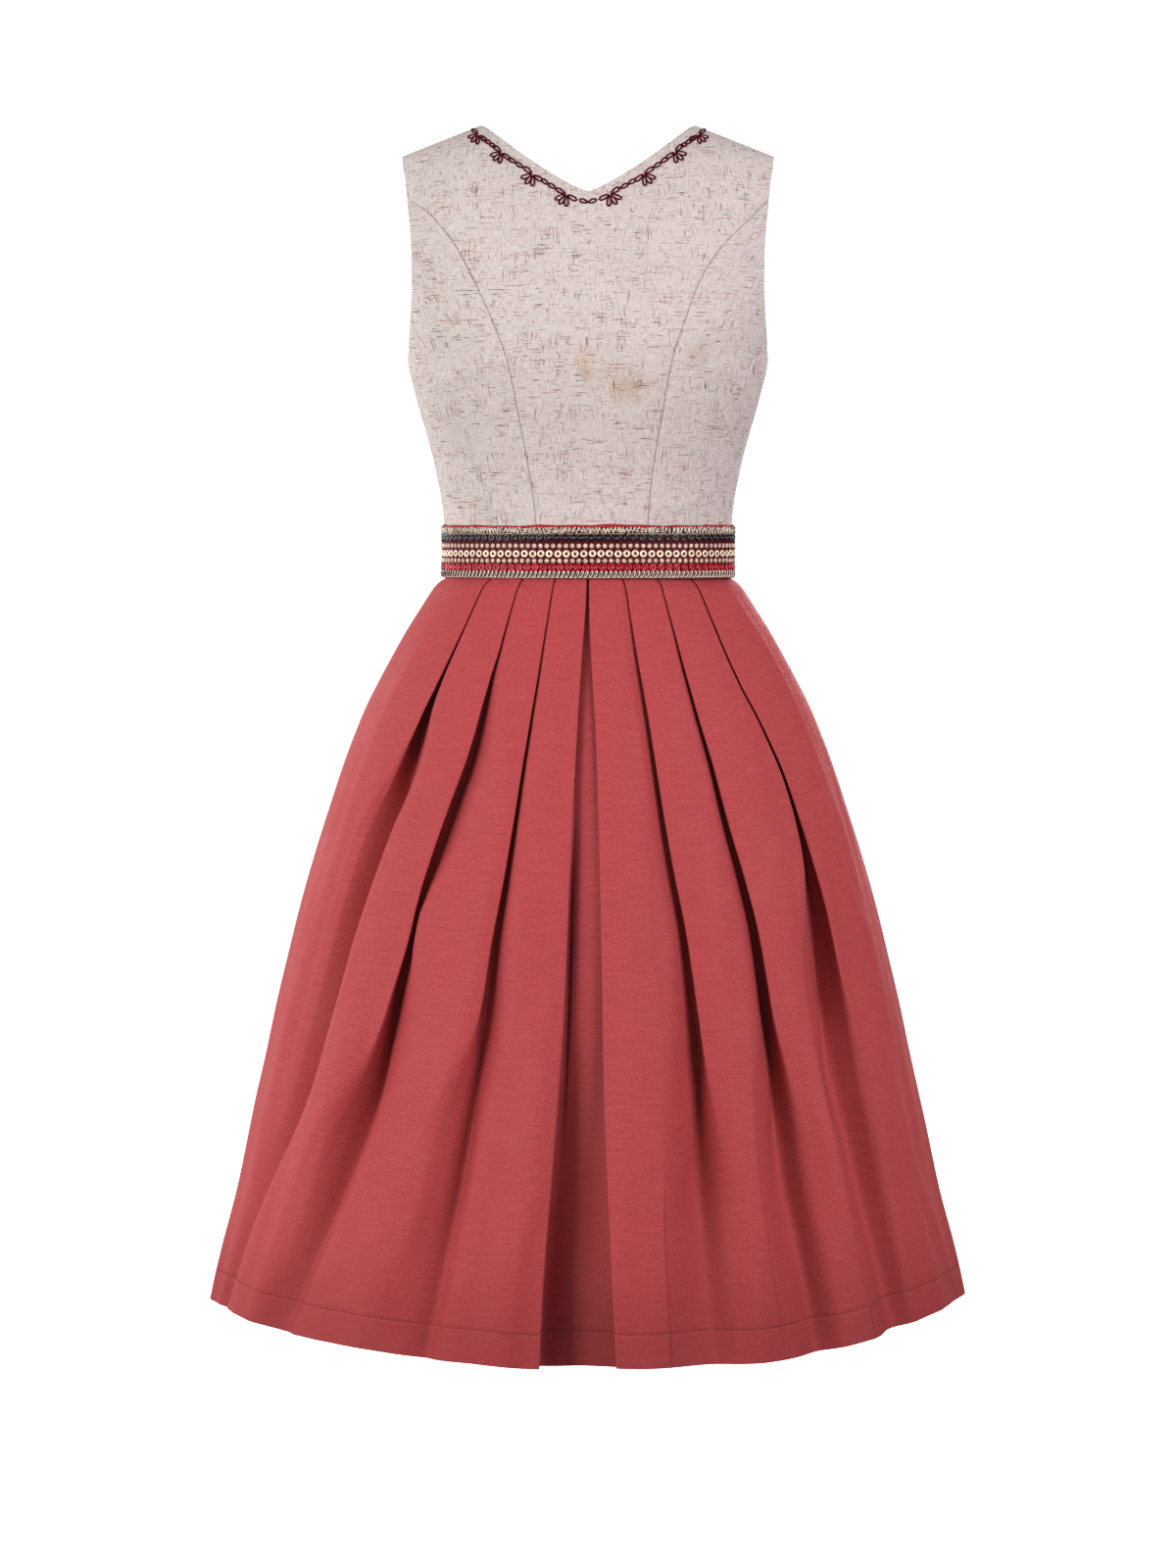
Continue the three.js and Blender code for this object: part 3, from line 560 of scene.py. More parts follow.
def cloth_shell(name, P, uv, thick, mats, sink=None):
    """Shell of cloth whose outer face is P; sink presses the outer face in (seams, stitch lines)."""
    N = grid_normals(P)
    mid = P[P.shape[0] // 2, P.shape[1] // 2]
    if np.dot(N[P.shape[0] // 2, P.shape[1] // 2][:2], mid[:2]) < 0:
        N = -N
    outer = P if sink is None else P - N * sink[..., None]
    inner = P - N * (np.asarray(thick)[..., None] if np.ndim(thick) else thick)
    if sink is not None:
        inner = inner - N * sink[..., None] * 0.6
    return shell(name, outer, inner, uv, mats)


def seam_sink(dist, deep=0.5, reach=1.5):
    """Depth that the cloth rolls in towards a sewn edge."""
    return deep * np.exp(-(dist / reach) ** 1.4) + 0.8 * hump(dist, 0, 0.5)


SIDE_GRAIN = 90.0  # mm from the centre line where the side fronts' weave starts
# places of the columns beside an edge, as shares of a panel's width
EDGE_BAND = np.array([0.0, 0.004, 0.010, 0.018, 0.030, 0.045, 0.065])


def top_panel(name, side, edge, mats, node, darts=()):
    """Centre front or back, up to the shoulders; darts: their places as shares of the half width."""
    half = np.concatenate([EDGE_BAND[:-1], np.linspace(0.065, 0.588, 22),
                           np.linspace(0.588, 0.99, 18)[1:], [1.0]])
    half = 1 - half[::-1]
    for f in darts:
        half = np.concatenate([half, f + np.array([-16, -8, -3, 0, 3, 8, 16]) / 1000])
    half = np.unique(np.round(np.clip(half, 0, 1), 5))
    us = np.concatenate([-half[:0:-1], half])
    near = np.array([0, 0.5, 1.2, 2.4, 4.0, 5.2, 5.8, 6.4, 7.2, 8.6, 11, 14.5])[::-1]
    side_sign = np.where(us < 0, -1, 1)[None, :]

    def deg_of(z):
        return us[None, :] * edge(side_sign, np.minimum(z, SHOULDER_END))
    # the panel's top, found by halving between lo and hi
    lo = np.full((1, len(us)), -120.0)
    hi = np.full((1, len(us)), 12.0)
    for _ in range(44):
        z = (lo + hi) / 2
        below = z < top_z(side, bodice_point(side, deg_of(z), z)[..., 0])
        lo, hi = np.where(below, z, lo), np.where(below, hi, z)
    zt = lo
    f = np.linspace(0, 1, 96)[:, None]
    z = np.concatenate([BODICE_FOOT + (zt - near[0] - BODICE_FOOT) * f, zt - near[1:, None]], 0)
    deg = deg_of(z)
    P = bodice_point(side, deg, z)
    N = grid_normals(P)
    if N[10, len(us) // 2, 1] * side > 0:
        N = -N
    P = P + N * (crease(side, P[..., 0], P[..., 2]) * smooth(0, 10, zt - z))[..., None]
    s = flat_u(P, len(us) // 2)
    edge_dist = np.minimum(s - s[:, :1], s[:, -1:] - s)
    down = np.broadcast_to(zt - z, s.shape)
    neck = np.abs(P[-1:, :, 0]) < NECK_X - 1
    sewn = z < (PRINCESS_TOP if side > 0 else ARMHOLE_FOOT)
    sink = np.where(sewn, seam_sink(edge_dist), 0.35 * hump(edge_dist, 0, 0.8))
    turned_edge = 0.30 * hump(down, 5.9, 0.8) + 0.35 * hump(down, 0, 0.7)
    sink = np.maximum(sink, np.where(neck, turned_edge, seam_sink(down)))
    for fd in darts:
        for sg in (-1, 1):
            c = np.interp(fd * sg, us, np.arange(len(us)))
            d = np.abs(s - s[:, int(round(c))][:, None])
            sink = np.maximum(sink, 0.8 * hump(d, 0, 1.3) * smooth(ARMHOLE_FOOT, -235, z))
    thick = 0.7 + 0.5 * np.where(neck, smooth(6.5, 5.5, down), 0)
    thick = np.maximum(thick, np.where(sewn, 0, 0.7 + 0.5 * smooth(5.5, 4.5, edge_dist)))
    uv = np.stack([s, z], -1)
    return add_piece(cloth_shell(name, P, uv, thick, mats, sink), node, node)


def side_front(name, sgn, seam, mats, node, dart):
    """dart: heights and places (share of the way from the seam to the side) of a sewn dart."""
    base = 0.36
    stops = np.concatenate([EDGE_BAND * 0.9, np.linspace(0.08, 0.92, 26), 1 - EDGE_BAND[::-1] * 0.9,
                            base + np.array([-30, -14, -7, 0, 7, 14, 30]) / 1000])
    us = np.unique(np.round(stops, 5))
    # heights along the princess seam and, a little steeper towards its tip, along the other edge
    zl = np.concatenate([np.linspace(BODICE_FOOT, -72, 92), [-70, -68, -66.5, -65.2]])
    zr = np.concatenate([zl[:-3], [-66, -64.2, -62.7]])
    place = curve([(a, b) for a, b, _ in dart])(zl)[:, None]
    deep = curve([(a, c) for a, _, c in dart])(zl)[:, None]
    uu = np.where(us < base, us * place / base, 1 - (1 - us) * (1 - place) / (1 - base))
    z = zl[:, None] + (zr - zl)[:, None] * uu
    end = np.where(zr > ARMHOLE_FOOT, armhole_front(zr), 90.0)
    deg = sgn * (seam(zl)[:, None] * (1 - uu) + end[:, None] * uu)
    P = bodice_point(1, deg, z)
    N = grid_normals(P)
    if N[20, 3, 1] > 0:
        N = -N
    P = P + N * crease(1, P[..., 0], P[..., 2])[..., None]
    s = flat_u(P, 0)
    sink = seam_sink(s)
    far = s[:, -1:] - s
    sink = np.maximum(sink, np.where(z < ARMHOLE_FOOT, seam_sink(far), 0.35 * hump(far, 0, 0.8)))
    k = int(np.argmin(np.abs(us - base)))
    sink = np.maximum(sink, 2.6 * deep * hump(s, s[:, k:k + 1], 0.8))
    thick = 0.7 + np.where(z > ARMHOLE_FOOT, 0.5 * smooth(5.5, 4.5, far), 0)
    uv = np.stack([sgn * (s + SIDE_GRAIN), z], -1)
    return add_piece(cloth_shell(name, P, uv, thick, mats, sink), node, node)


# ---------------------------------------------------------------- skirt form (same sizes as the solids)
skirt_a = curve([(-385, 134.2), (-411, 134.3), (-413, 137.5), (-415.5, 140.8), (-420, 145), (-425, 148.3),
                 (-429, 151), (-438.5, 157), (-461.5, 171.5), (-484.6, 184.5), (-507.7, 197),
                 (-530.8, 208.7), (-554, 218.5), (-577, 227.4), (-623, 242.9), (-670, 257.9),
                 (-716, 271.2), (-763, 283.1), (-810, 294.5), (-857, 304.6), (-903.5, 315.1),
                 (-950.5, 324.7), (-998, 334.9), (-1045, 345.5), (-1097, 356.5)])
skirt_b = curve([(-385, 93.4), (-411, 93.5), (-420, 98), (-440, 108), (-460, 118.5), (-485, 130),
                 (-508, 139), (-554, 158), (-600, 175), (-650, 191), (-700, 206), (-763, 222),
                 (-810, 234), (-857, 245), (-904, 255), (-950, 264), (-998, 273), (-1045, 282), (-1096, 290)])
STEP = 1.5  # mm from one layer of a fold to the next
# A quarter of the skirt runs from the centre line to a side seam. Its pleats lean towards the centre.
# c is half of the inverted box pleat. All tables are (z, value): edge is the azimuth of the fold that
# shows, gap the width in mm of the hollow beside it, deep its depth and lap the cloth under the
# fold in mm. open gives the heights between which a pleat turns from a fold into a wave.
QUARTERS = {
    "front_right": dict(
        lean=-1,
        c=dict(edge=[(-385, 0.5), (-411, 0.6), (-486, 1.9), (-542, 2.6), (-639, 3.4), (-788, 4.2),
                     (-925, 5.6), (-1034, 6.7), (-1096, 6.9)],
               deep=[(-385, 3), (-420, 6), (-460, 9), (-500, 10), (-600, 11), (-700, 12), (-780, 15),
                     (-850, 24), (-900, 33), (-1000, 45), (-1096, 48)],
               lap=[(-385, 29), (-500, 26), (-700, 20), (-900, 14), (-1096, 10)]),
        pleats=[
            dict(edge=[(-385, 13.3), (-411, 13.3), (-483, 13.7), (-591, 15.3), (-680, 16.9), (-734, 18.2),
                       (-819, 19.5), (-864, 20.8), (-933, 22.3), (-1018, 24.2), (-1096, 25.6)],
                 gap=[(-385, 2.5), (-420, 2.5), (-500, 3.5), (-600, 5), (-680, 9), (-773, 20), (-862, 33),
                      (-940, 38), (-1096, 42)],
                 deep=[(-385, 3), (-420, 3), (-500, 5), (-600, 9), (-700, 13), (-780, 18), (-850, 22),
                       (-933, 20), (-1018, 15), (-1096, 10)],
                 lap=[(-385, 29), (-500, 25), (-600, 19), (-700, 13), (-800, 6), (-900, 1)],
                 open=(-770, -920)),
            dict(edge=[(-385, 27.4), (-411, 27), (-468, 27), (-499, 27.6), (-537, 28.2), (-572, 29.3),
                       (-611, 31.4), (-654, 33.4), (-695, 34.9), (-732, 35.7), (-788, 38.1), (-855, 40.5),
                       (-943, 44.6), (-1033, 49.5), (-1096, 52.6)],
                 gap=[(-385, 2.5), (-420, 2.5), (-470, 4), (-498, 7), (-534, 15), (-572, 20), (-594, 20),
                      (-626, 21), (-659, 18), (-694, 9), (-712, 5), (-733, 6), (-760, 14), (-791, 24),
                      (-823, 30), (-868, 38), (-943, 42), (-1033, 42), (-1096, 42)],
                 deep=[(-385, 3), (-420, 3), (-480, 5), (-534, 12), (-590, 17), (-650, 17), (-700, 13),
                       (-760, 17), (-820, 24), (-880, 27), (-943, 22), (-1020, 15), (-1096, 9)],
                 lap=[(-385, 29), (-500, 23), (-600, 16), (-700, 10), (-760, 6), (-840, 1)],
                 open=(-790, -930)),
            dict(edge=[(-385, 42.6), (-411, 42.8), (-455, 43.2), (-503, 44.9), (-541, 46.8), (-575, 48.2),
                       (-600, 49.2), (-640, 51.4), (-684, 53), (-738, 54.6), (-800, 56), (-863, 58),
                       (-910, 61), (-958, 65), (-1030, 70), (-1096, 73)],
                 gap=[(-385, 2.5), (-420, 2.5), (-490, 4), (-510, 6), (-530, 10), (-552, 17), (-585, 26),
                      (-623, 29), (-667, 31), (-745, 31), (-800, 31), (-870, 29), (-940, 25),
                      (-1096, 22)],
                 deep=[(-385, 3), (-420, 3), (-480, 5), (-508, 9), (-540, 16), (-585, 24), (-640, 27),
                       (-700, 26), (-760, 23), (-820, 19), (-885, 15), (-958, 11), (-1030, 7), (-1096, 5)],
                 lap=[(-385, 29), (-480, 24), (-540, 17), (-600, 10), (-660, 5), (-720, 1)],
                 open=(-530, -650)),
        ]),
    "front_left": dict(
        lean=1,
        c=dict(edge=[(-385, 0.5), (-439, 0.5), (-483, 1.0), (-550, 1.9), (-678, 2.4), (-870, 2.7),
                     (-979, 3.3), (-1096, 4)],
               deep=[(-385, 3), (-420, 3), (-500, 3.5), (-600, 4), (-700, 5.5), (-800, 9), (-900, 14),
                     (-1000, 19), (-1096, 23)],
               lap=[(-385, 29), (-500, 26), (-700, 21), (-900, 15), (-1096, 11)]),
        pleats=[
            dict(edge=[(-385, 14.1), (-413, 14.2), (-454, 14.2), (-513, 14.8), (-589, 15.9), (-665, 17.3),
                       (-730, 18.9), (-797, 19.8), (-877, 20.6), (-933, 20.9), (-1016, 20.7), (-1096, 20.7)],
                 gap=[(-385, 2.5), (-415, 3), (-440, 8), (-500, 11), (-600, 12), (-700, 15), (-796, 24),
                      (-877, 40), (-975, 52), (-1096, 54)],
                 deep=[(-385, 3), (-420, 3), (-500, 6), (-600, 9), (-700, 12), (-780, 17), (-848, 22),
                       (-933, 24), (-1016, 20), (-1096, 14)],
                 lap=[(-385, 29), (-500, 26), (-600, 19), (-700, 12), (-800, 6), (-900, 1)],
                 open=(-810, -960)),
            dict(edge=[(-385, 29.4), (-412, 28.9), (-425, 28.3), (-472, 27.9), (-526, 28.4), (-577, 29.9),
                       (-629, 31.3), (-682, 33), (-726, 34.1), (-800, 34.8), (-852, 35.8), (-938, 36.4),
                       (-1024, 37.6), (-1096, 38.4)],
                 gap=[(-385, 2.5), (-420, 2.5), (-500, 5), (-600, 9), (-700, 14), (-800, 20), (-860, 36),
                      (-938, 48), (-1024, 52), (-1096, 52)],
                 deep=[(-385, 3), (-420, 3), (-500, 6), (-600, 10), (-700, 15), (-780, 20), (-852, 24),
                       (-938, 25), (-1024, 20), (-1096, 14)],
                 lap=[(-385, 29), (-500, 25), (-600, 17), (-700, 10), (-790, 5), (-860, 1)],
                 open=(-800, -930)),
            dict(edge=[(-385, 45.9), (-417, 45.4), (-465, 44.6), (-506, 45.6), (-544, 48.4), (-572, 50.2),
                       (-593, 51.4), (-627, 52.6), (-661, 53.4), (-713, 54), (-785, 53.6), (-860, 53.4),
                       (-948, 54.4), (-1036, 54.8), (-1096, 55)],
                 gap=[(-385, 2.5), (-420, 2.5), (-560, 3), (-614, 5), (-645, 9), (-671, 15), (-696, 25),
                      (-721, 35), (-770, 46), (-860, 54), (-948, 52), (-1096, 50)],
                 deep=[(-385, 3), (-420, 3), (-500, 6), (-560, 9), (-620, 13), (-680, 19), (-740, 26),
                       (-800, 30), (-860, 28), (-948, 24), (-1036, 17), (-1096, 12)],
                 lap=[(-385, 29), (-500, 24), (-600, 17), (-700, 8), (-780, 1)],
                 open=(-740, -870)),
        ]),
}


def back_quarter(src, turn, ease):
    """A front quarter with its lower folds turned by about turn degrees and eased in depth."""
    def settle(z):
        return float(smooth(-420, -900, z))

    def swap(tab, f):
        return [(z, f(v, z)) for z, v in tab]
    return dict(
        lean=src["lean"],
        c=dict(edge=swap(src["c"]["edge"], lambda v, z: v + turn * 0.7 * settle(z)),
               deep=src["c"]["deep"], lap=src["c"]["lap"]),
        pleats=[dict(
            edge=swap(p["edge"], lambda v, z, k=k: v + turn * (1.6 if k == 1 else -1.1) * settle(z)),
            gap=swap(p["gap"], lambda v, z: mix(v, v * ease, settle(z))),
            deep=swap(p["deep"], lambda v, z: mix(v, max(3, v * ease), settle(z))),
            lap=p["lap"], open=tuple(z - 25 * (k - 1) for z in p["open"]))
            for k, p in enumerate(src["pleats"])])


QUARTERS["back_left"] = back_quarter(QUARTERS["front_right"], 1, 0.85)
QUARTERS["back_right"] = back_quarter(QUARTERS["front_left"], -1, 0.95)
SIDE_PANEL = (0.30, 0.46, 0.63, 0.80)  # columns between the last pleat and the side seam
# radii in mm of the hidden folds and of the edge that shows, and how far a panel bulges out
fold_r = curve([(-385, 0.6), (-420, 0.9), (-500, 1.8), (-600, 3.5), (-700, 6), (-850, 10), (-960, 14),
                (-1096, 20)])
edge_r = curve([(-385, 0.6), (-500, 1.0), (-700, 1.8), (-850, 3.5), (-960, 7), (-1096, 14)])
bulge = curve([(-385, 0), (-412, 0), (-450, 0.8), (-520, 1.6), (-700, 2.4), (-900, 2.2), (-1096, 1.2)])


# hollow of an opened pleat: (place in gap widths from the edge, share of the depth)
WAVE = {
    1: ((-1.0, 0), (-0.80, 0.16), (-0.58, 0.52), (-0.38, 0.86), (-0.24, 1), (-0.12, 0.92),
        (0.0, 0.60), (0.12, 0.20), (0.26, 0)),
    -1: ((-0.62, 0), (-0.50, 0.20), (-0.38, 0.58), (-0.27, 0.90), (-0.15, 1), (0.0, 0.84),
         (0.24, 0.50), (0.52, 0.20), (0.90, 0)),
}


def quarter_controls(q, z):
    """Control points (azimuth deg, offset mm, depth mm, corner radius mm) from the centre out."""
    one = np.ones_like(z)
    pts = []

    def add(deg, off, n, r):
        pts.append([deg * one, off * one, n * one, r * one])
    c = q["c"]
    e, m, lap = (curve(c[k])(z) for k in ("edge", "deep", "lap"))
    soft = smooth(-520, -960, z)
    fr, er, pr = fold_r(z), edge_r(z), 60 * one
    add(e, lap / 2, m * mix(1, 0.94, soft), pr * 0.2)
    add(e, lap, m * mix(1, 0.74, soft), fr)
    add(e, lap * mix(1, 0.86, soft), m / 2, fr)
    add(e, lap / 2, mix(m / 2, STEP, 0.5), fr)
    add(e, 0, STEP, er * 0.6)
    add(e, 0, 0, er)
    last = e
    for p in q["pleats"]:
        E, g, d, l = (curve(p[k])(z) for k in ("edge", "gap", "deep", "lap"))
        w = smooth(p["open"][0], p["open"][1], z)
        fold = [(-g, 0 * d), (-g * 0.45, d * 0.6), (0.3 * one, d), (l / 2, d), (l, d), (l, d / 2),
                (l / 2, mix(d / 2, STEP, 0.5)), (0 * g, STEP * one), (0 * g, 0 * d)]
        wave = [(f * g, v) for f, v in WAVE[q["lean"]]]
        add(mix(last, E, 0.46), 0, -bulge(z), pr)
        for i, (f, v) in enumerate(zip(fold, wave)):
            r = (er if i == 8 else er * 0.6 if i == 7 else mix(fr, 40, w) if i in (0, 1, 2) else fr)
            add(E, mix(f[0], v[0], w), mix(f[1], v[1] * d, w), r)
        last = E
    for i, f in enumerate(SIDE_PANEL):
        add(mix(last, 90, f), 0, -bulge(z) * (0.6, 0.4, 0.15, 0)[i], pr)
    add(90, 0, 0, 0)
    return np.array(pts).transpose(2, 0, 1)  # rows, points, 4


# Soft ridges (and hollows) down the skirt: places (z, azimuth), widths in mm towards -X and +X,
# heights (z, mm)
RIDGES = {
    1: [
        ([(-429, 64), (-450, 65), (-469, 66.4), (-493, 67), (-546, 68), (-605, 69.6), (-637, 70.4), (-680, 71)],
         7, 5, [(-415, 0), (-430, 2.4), (-560, 2.8), (-640, 2.2), (-690, 0)]),
        ([(-450, 58), (-530, 60.5), (-600, 63), (-650, 64.5)], 9, 8,
         [(-430, 0), (-470, 1.2), (-600, 1.4), (-650, 0)]),
        ([(-650, 59.6), (-682, 62.5), (-710, 66), (-740, 69)], 8, 6,
         [(-640, 0), (-665, 1.8), (-720, 1.8), (-750, 0)]),
        ([(-787, 60.3), (-861, 64), (-957, 67.6), (-1025, 72.5), (-1096, 75)], 6, 9,
         [(-760, 0), (-800, 2.4), (-950, 3.2), (-1040, 2.6), (-1096, 1)]),
        ([(-802, 37), (-854, 37.6), (-906, 38), (-967, 38.8)], 13, 14,
         [(-740, 0), (-820, -3.2), (-920, -3), (-1010, 0)]),
        ([(-600, 38), (-700, 40.5), (-780, 42)], 20, 16, [(-500, 0), (-600, 1.8), (-700, 2), (-800, 0)]),
        ([(-880, 82), (-1096, 80)], 12, 10, [(-840, 0), (-960, 2.4), (-1096, 3)]),
        # crowns of the panels, from the wearer's left to the right
        ([(-860, 61), (-950, 63), (-1040, 65)], 14, 18, [(-780, 0), (-860, 3), (-950, 4), (-1096, 3)]),
        ([(-600, -2.75), (-639, -3.1), (-788, -3.95), (-925, -5.35), (-1034, -6.45)], 1.0, 3.4,
         [(-600, 0), (-680, -3.4), (-800, -4.6), (-860, -3.6), (-940, 0)]),
        ([(-768, 38.2), (-856, 41), (-944, 43.6), (-1031, 44.9), (-1096, 45)], 16, 22,
         [(-700, 0), (-768, 3), (-856, 6), (-944, 6), (-1031, 5), (-1096, 3)]),
        ([(-765, 22.6), (-850, 23.9), (-934, 24.6), (-1096, 25.4)], 12, 34,
         [(-700, 0), (-765, 3), (-850, 6), (-934, 7), (-1019, 6), (-1096, 3)]),
        ([(-600, 8.5), (-763, 9.7), (-847, 10.2), (-931, 10), (-1096, 9.9)], 34, 24,
         [(-480, 0), (-600, 1.5), (-763, 4), (-847, 6), (-931, 7), (-1015, 6), (-1096, 4)]),
        ([(-847, -7.7), (-931, -8), (-1015, -10.8), (-1096, -12)], 20, 14,
         [(-760, 0), (-847, 4), (-931, 5), (-1015, 4), (-1096, 2)]),
        ([(-600, -20), (-764, -21.6), (-850, -24), (-935, -26.4), (-1022, -31), (-1096, -34)], 48, 20,
         [(-560, 0), (-680, 2), (-764, 4), (-850, 7), (-935, 9), (-1022, 7), (-1096, 4)]),
        ([(-600, -25.5), (-690, -27), (-775, -29.5)], 8, 8, [(-560, 0), (-640, -1), (-760, -1.2), (-840, 0)]),
        ([(-660, -44), (-770, -44.5), (-859, -47), (-948, -50.4), (-1037, -54.5), (-1096, -58)], 22, 18,
         [(-640, 0), (-770, 3), (-859, 6), (-948, 7), (-1037, 6), (-1096, 3)]),
        ([(-437, -76), (-579, -74), (-673, -70), (-782, -70), (-1000, -74)], 14, 12,
         [(-420, 0), (-500, 1.0), (-760, 1.4), (-1000, 1.8)]),
        ([(-450, -60), (-579, -65), (-700, -66)], 14, 12, [(-420, 0), (-500, 1.2), (-620, 1.4), (-720, 0)]),
        ([(-900, -82), (-1096, -80)], 12, 14, [(-860, 0), (-980, 1.8), (-1096, 2.6)])],
    -1: [
        ([(-429, -66), (-550, -68.5), (-660, -71)], 7, 8, [(-415, 0), (-440, 2), (-600, 2.2), (-680, 0)]),
        ([(-760, -61), (-900, -65), (-1096, -72)], 10, 12,
         [(-740, 0), (-820, 2.4), (-1000, 2.6), (-1096, 1.6)]),
        ([(-500, 65), (-700, 70), (-1096, 74)], 12, 12, [(-430, 0), (-520, 1.4), (-800, 1.8), (-1096, 2)]),
        ([(-640, 22), (-800, 26), (-1096, 28)], 24, 18, [(-500, 0), (-640, 1.8), (-900, 2.6), (-1096, 2.2)]),
        ([(-640, 8), (-1096, 12)], 20, 20, [(-500, 0), (-700, 1.4), (-1096, 2)]),
        ([(-640, -8), (-1096, -12)], 22, 20, [(-500, 0), (-700, 1.6), (-1096, 2.2)]),
        ([(-640, -22), (-800, -26), (-1096, -27)], 20, 22, [(-500, 0), (-680, 1.8), (-900, 2.4), (-1096, 2)]),
        ([(-820, 38), (-1000, 40)], 16, 16, [(-780, 0), (-880, -2.6), (-1010, 0)]),
        ([(-820, -46), (-1096, -50)], 18, 18, [(-760, 0), (-900, 2.4), (-1096, 2)]),
        ([(-900, 82), (-1096, 80)], 12, 14, [(-860, 0), (-980, 1.8), (-1096, 2.4)])],
}
# height of the skirt's edge by azimuth, on the front (1) and the back (-1)
HEM_LINE = {
    1: curve([(-90, -1089), (-66, -1084.5), (-58, -1085), (-50, -1087.2), (-44, -1087), (-36, -1088),
              (-26, -1091.4), (-17, -1093.2), (-8, -1096), (0, -1094.2), (8, -1095.6), (16, -1094.9),
              (25, -1096.4), (36, -1093.4), (44, -1089.4), (53, -1085), (66, -1080), (78, -1081), (90, -1084)]),
    -1: curve([(-90, -1089), (-66, -1085), (-50, -1087), (-30, -1090), (-12, -1094), (0, -1093), (12, -1095),
               (30, -1091), (50, -1087.5), (66, -1084), (90, -1084)]),
}


def fillet(ctrl, a, b):
    """Rounds the corners of control lines and subdivides long stretches: rows x points of
    (azimuth rad, depth mm)."""
    deg, off, n, r = (ctrl[..., i] for i in range(4))
    t = np.radians(deg)
    t = t + off / np.hypot(a * np.cos(t), b * np.sin(t))
    t = np.clip(t, -np.pi / 2, np.pi / 2)
    ds = np.hypot(a * np.cos(t), b * np.sin(t))
    Q = np.stack([t, n], -1)
    seg = np.diff(Q, axis=1)
    length = np.hypot(seg[..., 0] * (ds[:, 1:] + ds[:, :-1]) / 2, seg[..., 1])
    cols = [Q[:, :1]]
    k_per = 4
    K = Q.shape[1]
    cut_in = np.zeros_like(r)
    cut_out = np.zeros_like(r)
    cut_in[:, 1:-1] = np.minimum(r[:, 1:-1] / np.maximum(length[:, :-1], 1e-6), 0.48)
    cut_out[:, 1:-1] = np.minimum(r[:, 1:-1] / np.maximum(length[:, 1:], 1e-6), 0.48)
    for i in range(1, K):
        A, B = Q[:, i - 1], Q[:, i]
        start = A + (B - A) * cut_out[:, i - 1, None]
        end = B - (B - A) * cut_in[:, i, None]
        n_sub = int(np.ceil(length[:, i - 1].max() / (9)))
        for j in range(1, n_sub):
            cols.append((start + (end - start) * j / n_sub)[:, None])
        if i == K - 1:
            cols.append(B[:, None])
            break
        nxt = B + (Q[:, i + 1] - B) * cut_out[:, i, None]
        for w in np.linspace(0, 1, k_per):
            cols.append(((1 - w) ** 2 * end + 2 * w * (1 - w) * B + w * w * nxt)[:, None])
    return np.concatenate(cols, 1)


def ring_xyz(front, t, n, z):
    """x and y of the skirt's middle surface at azimuth t (rad) and depth n (mm) under its form."""
    a, b = skirt_a(z)[:, None], skirt_b(z)[:, None]
    nx, ny = np.sin(t) / a, np.cos(t) / b
    l = np.hypot(nx, ny)
    inset = n + 0.5
    x = a * np.sin(t) - inset * nx / l
    y = front * (-b * np.cos(t) + inset * ny / l)
    return x, y


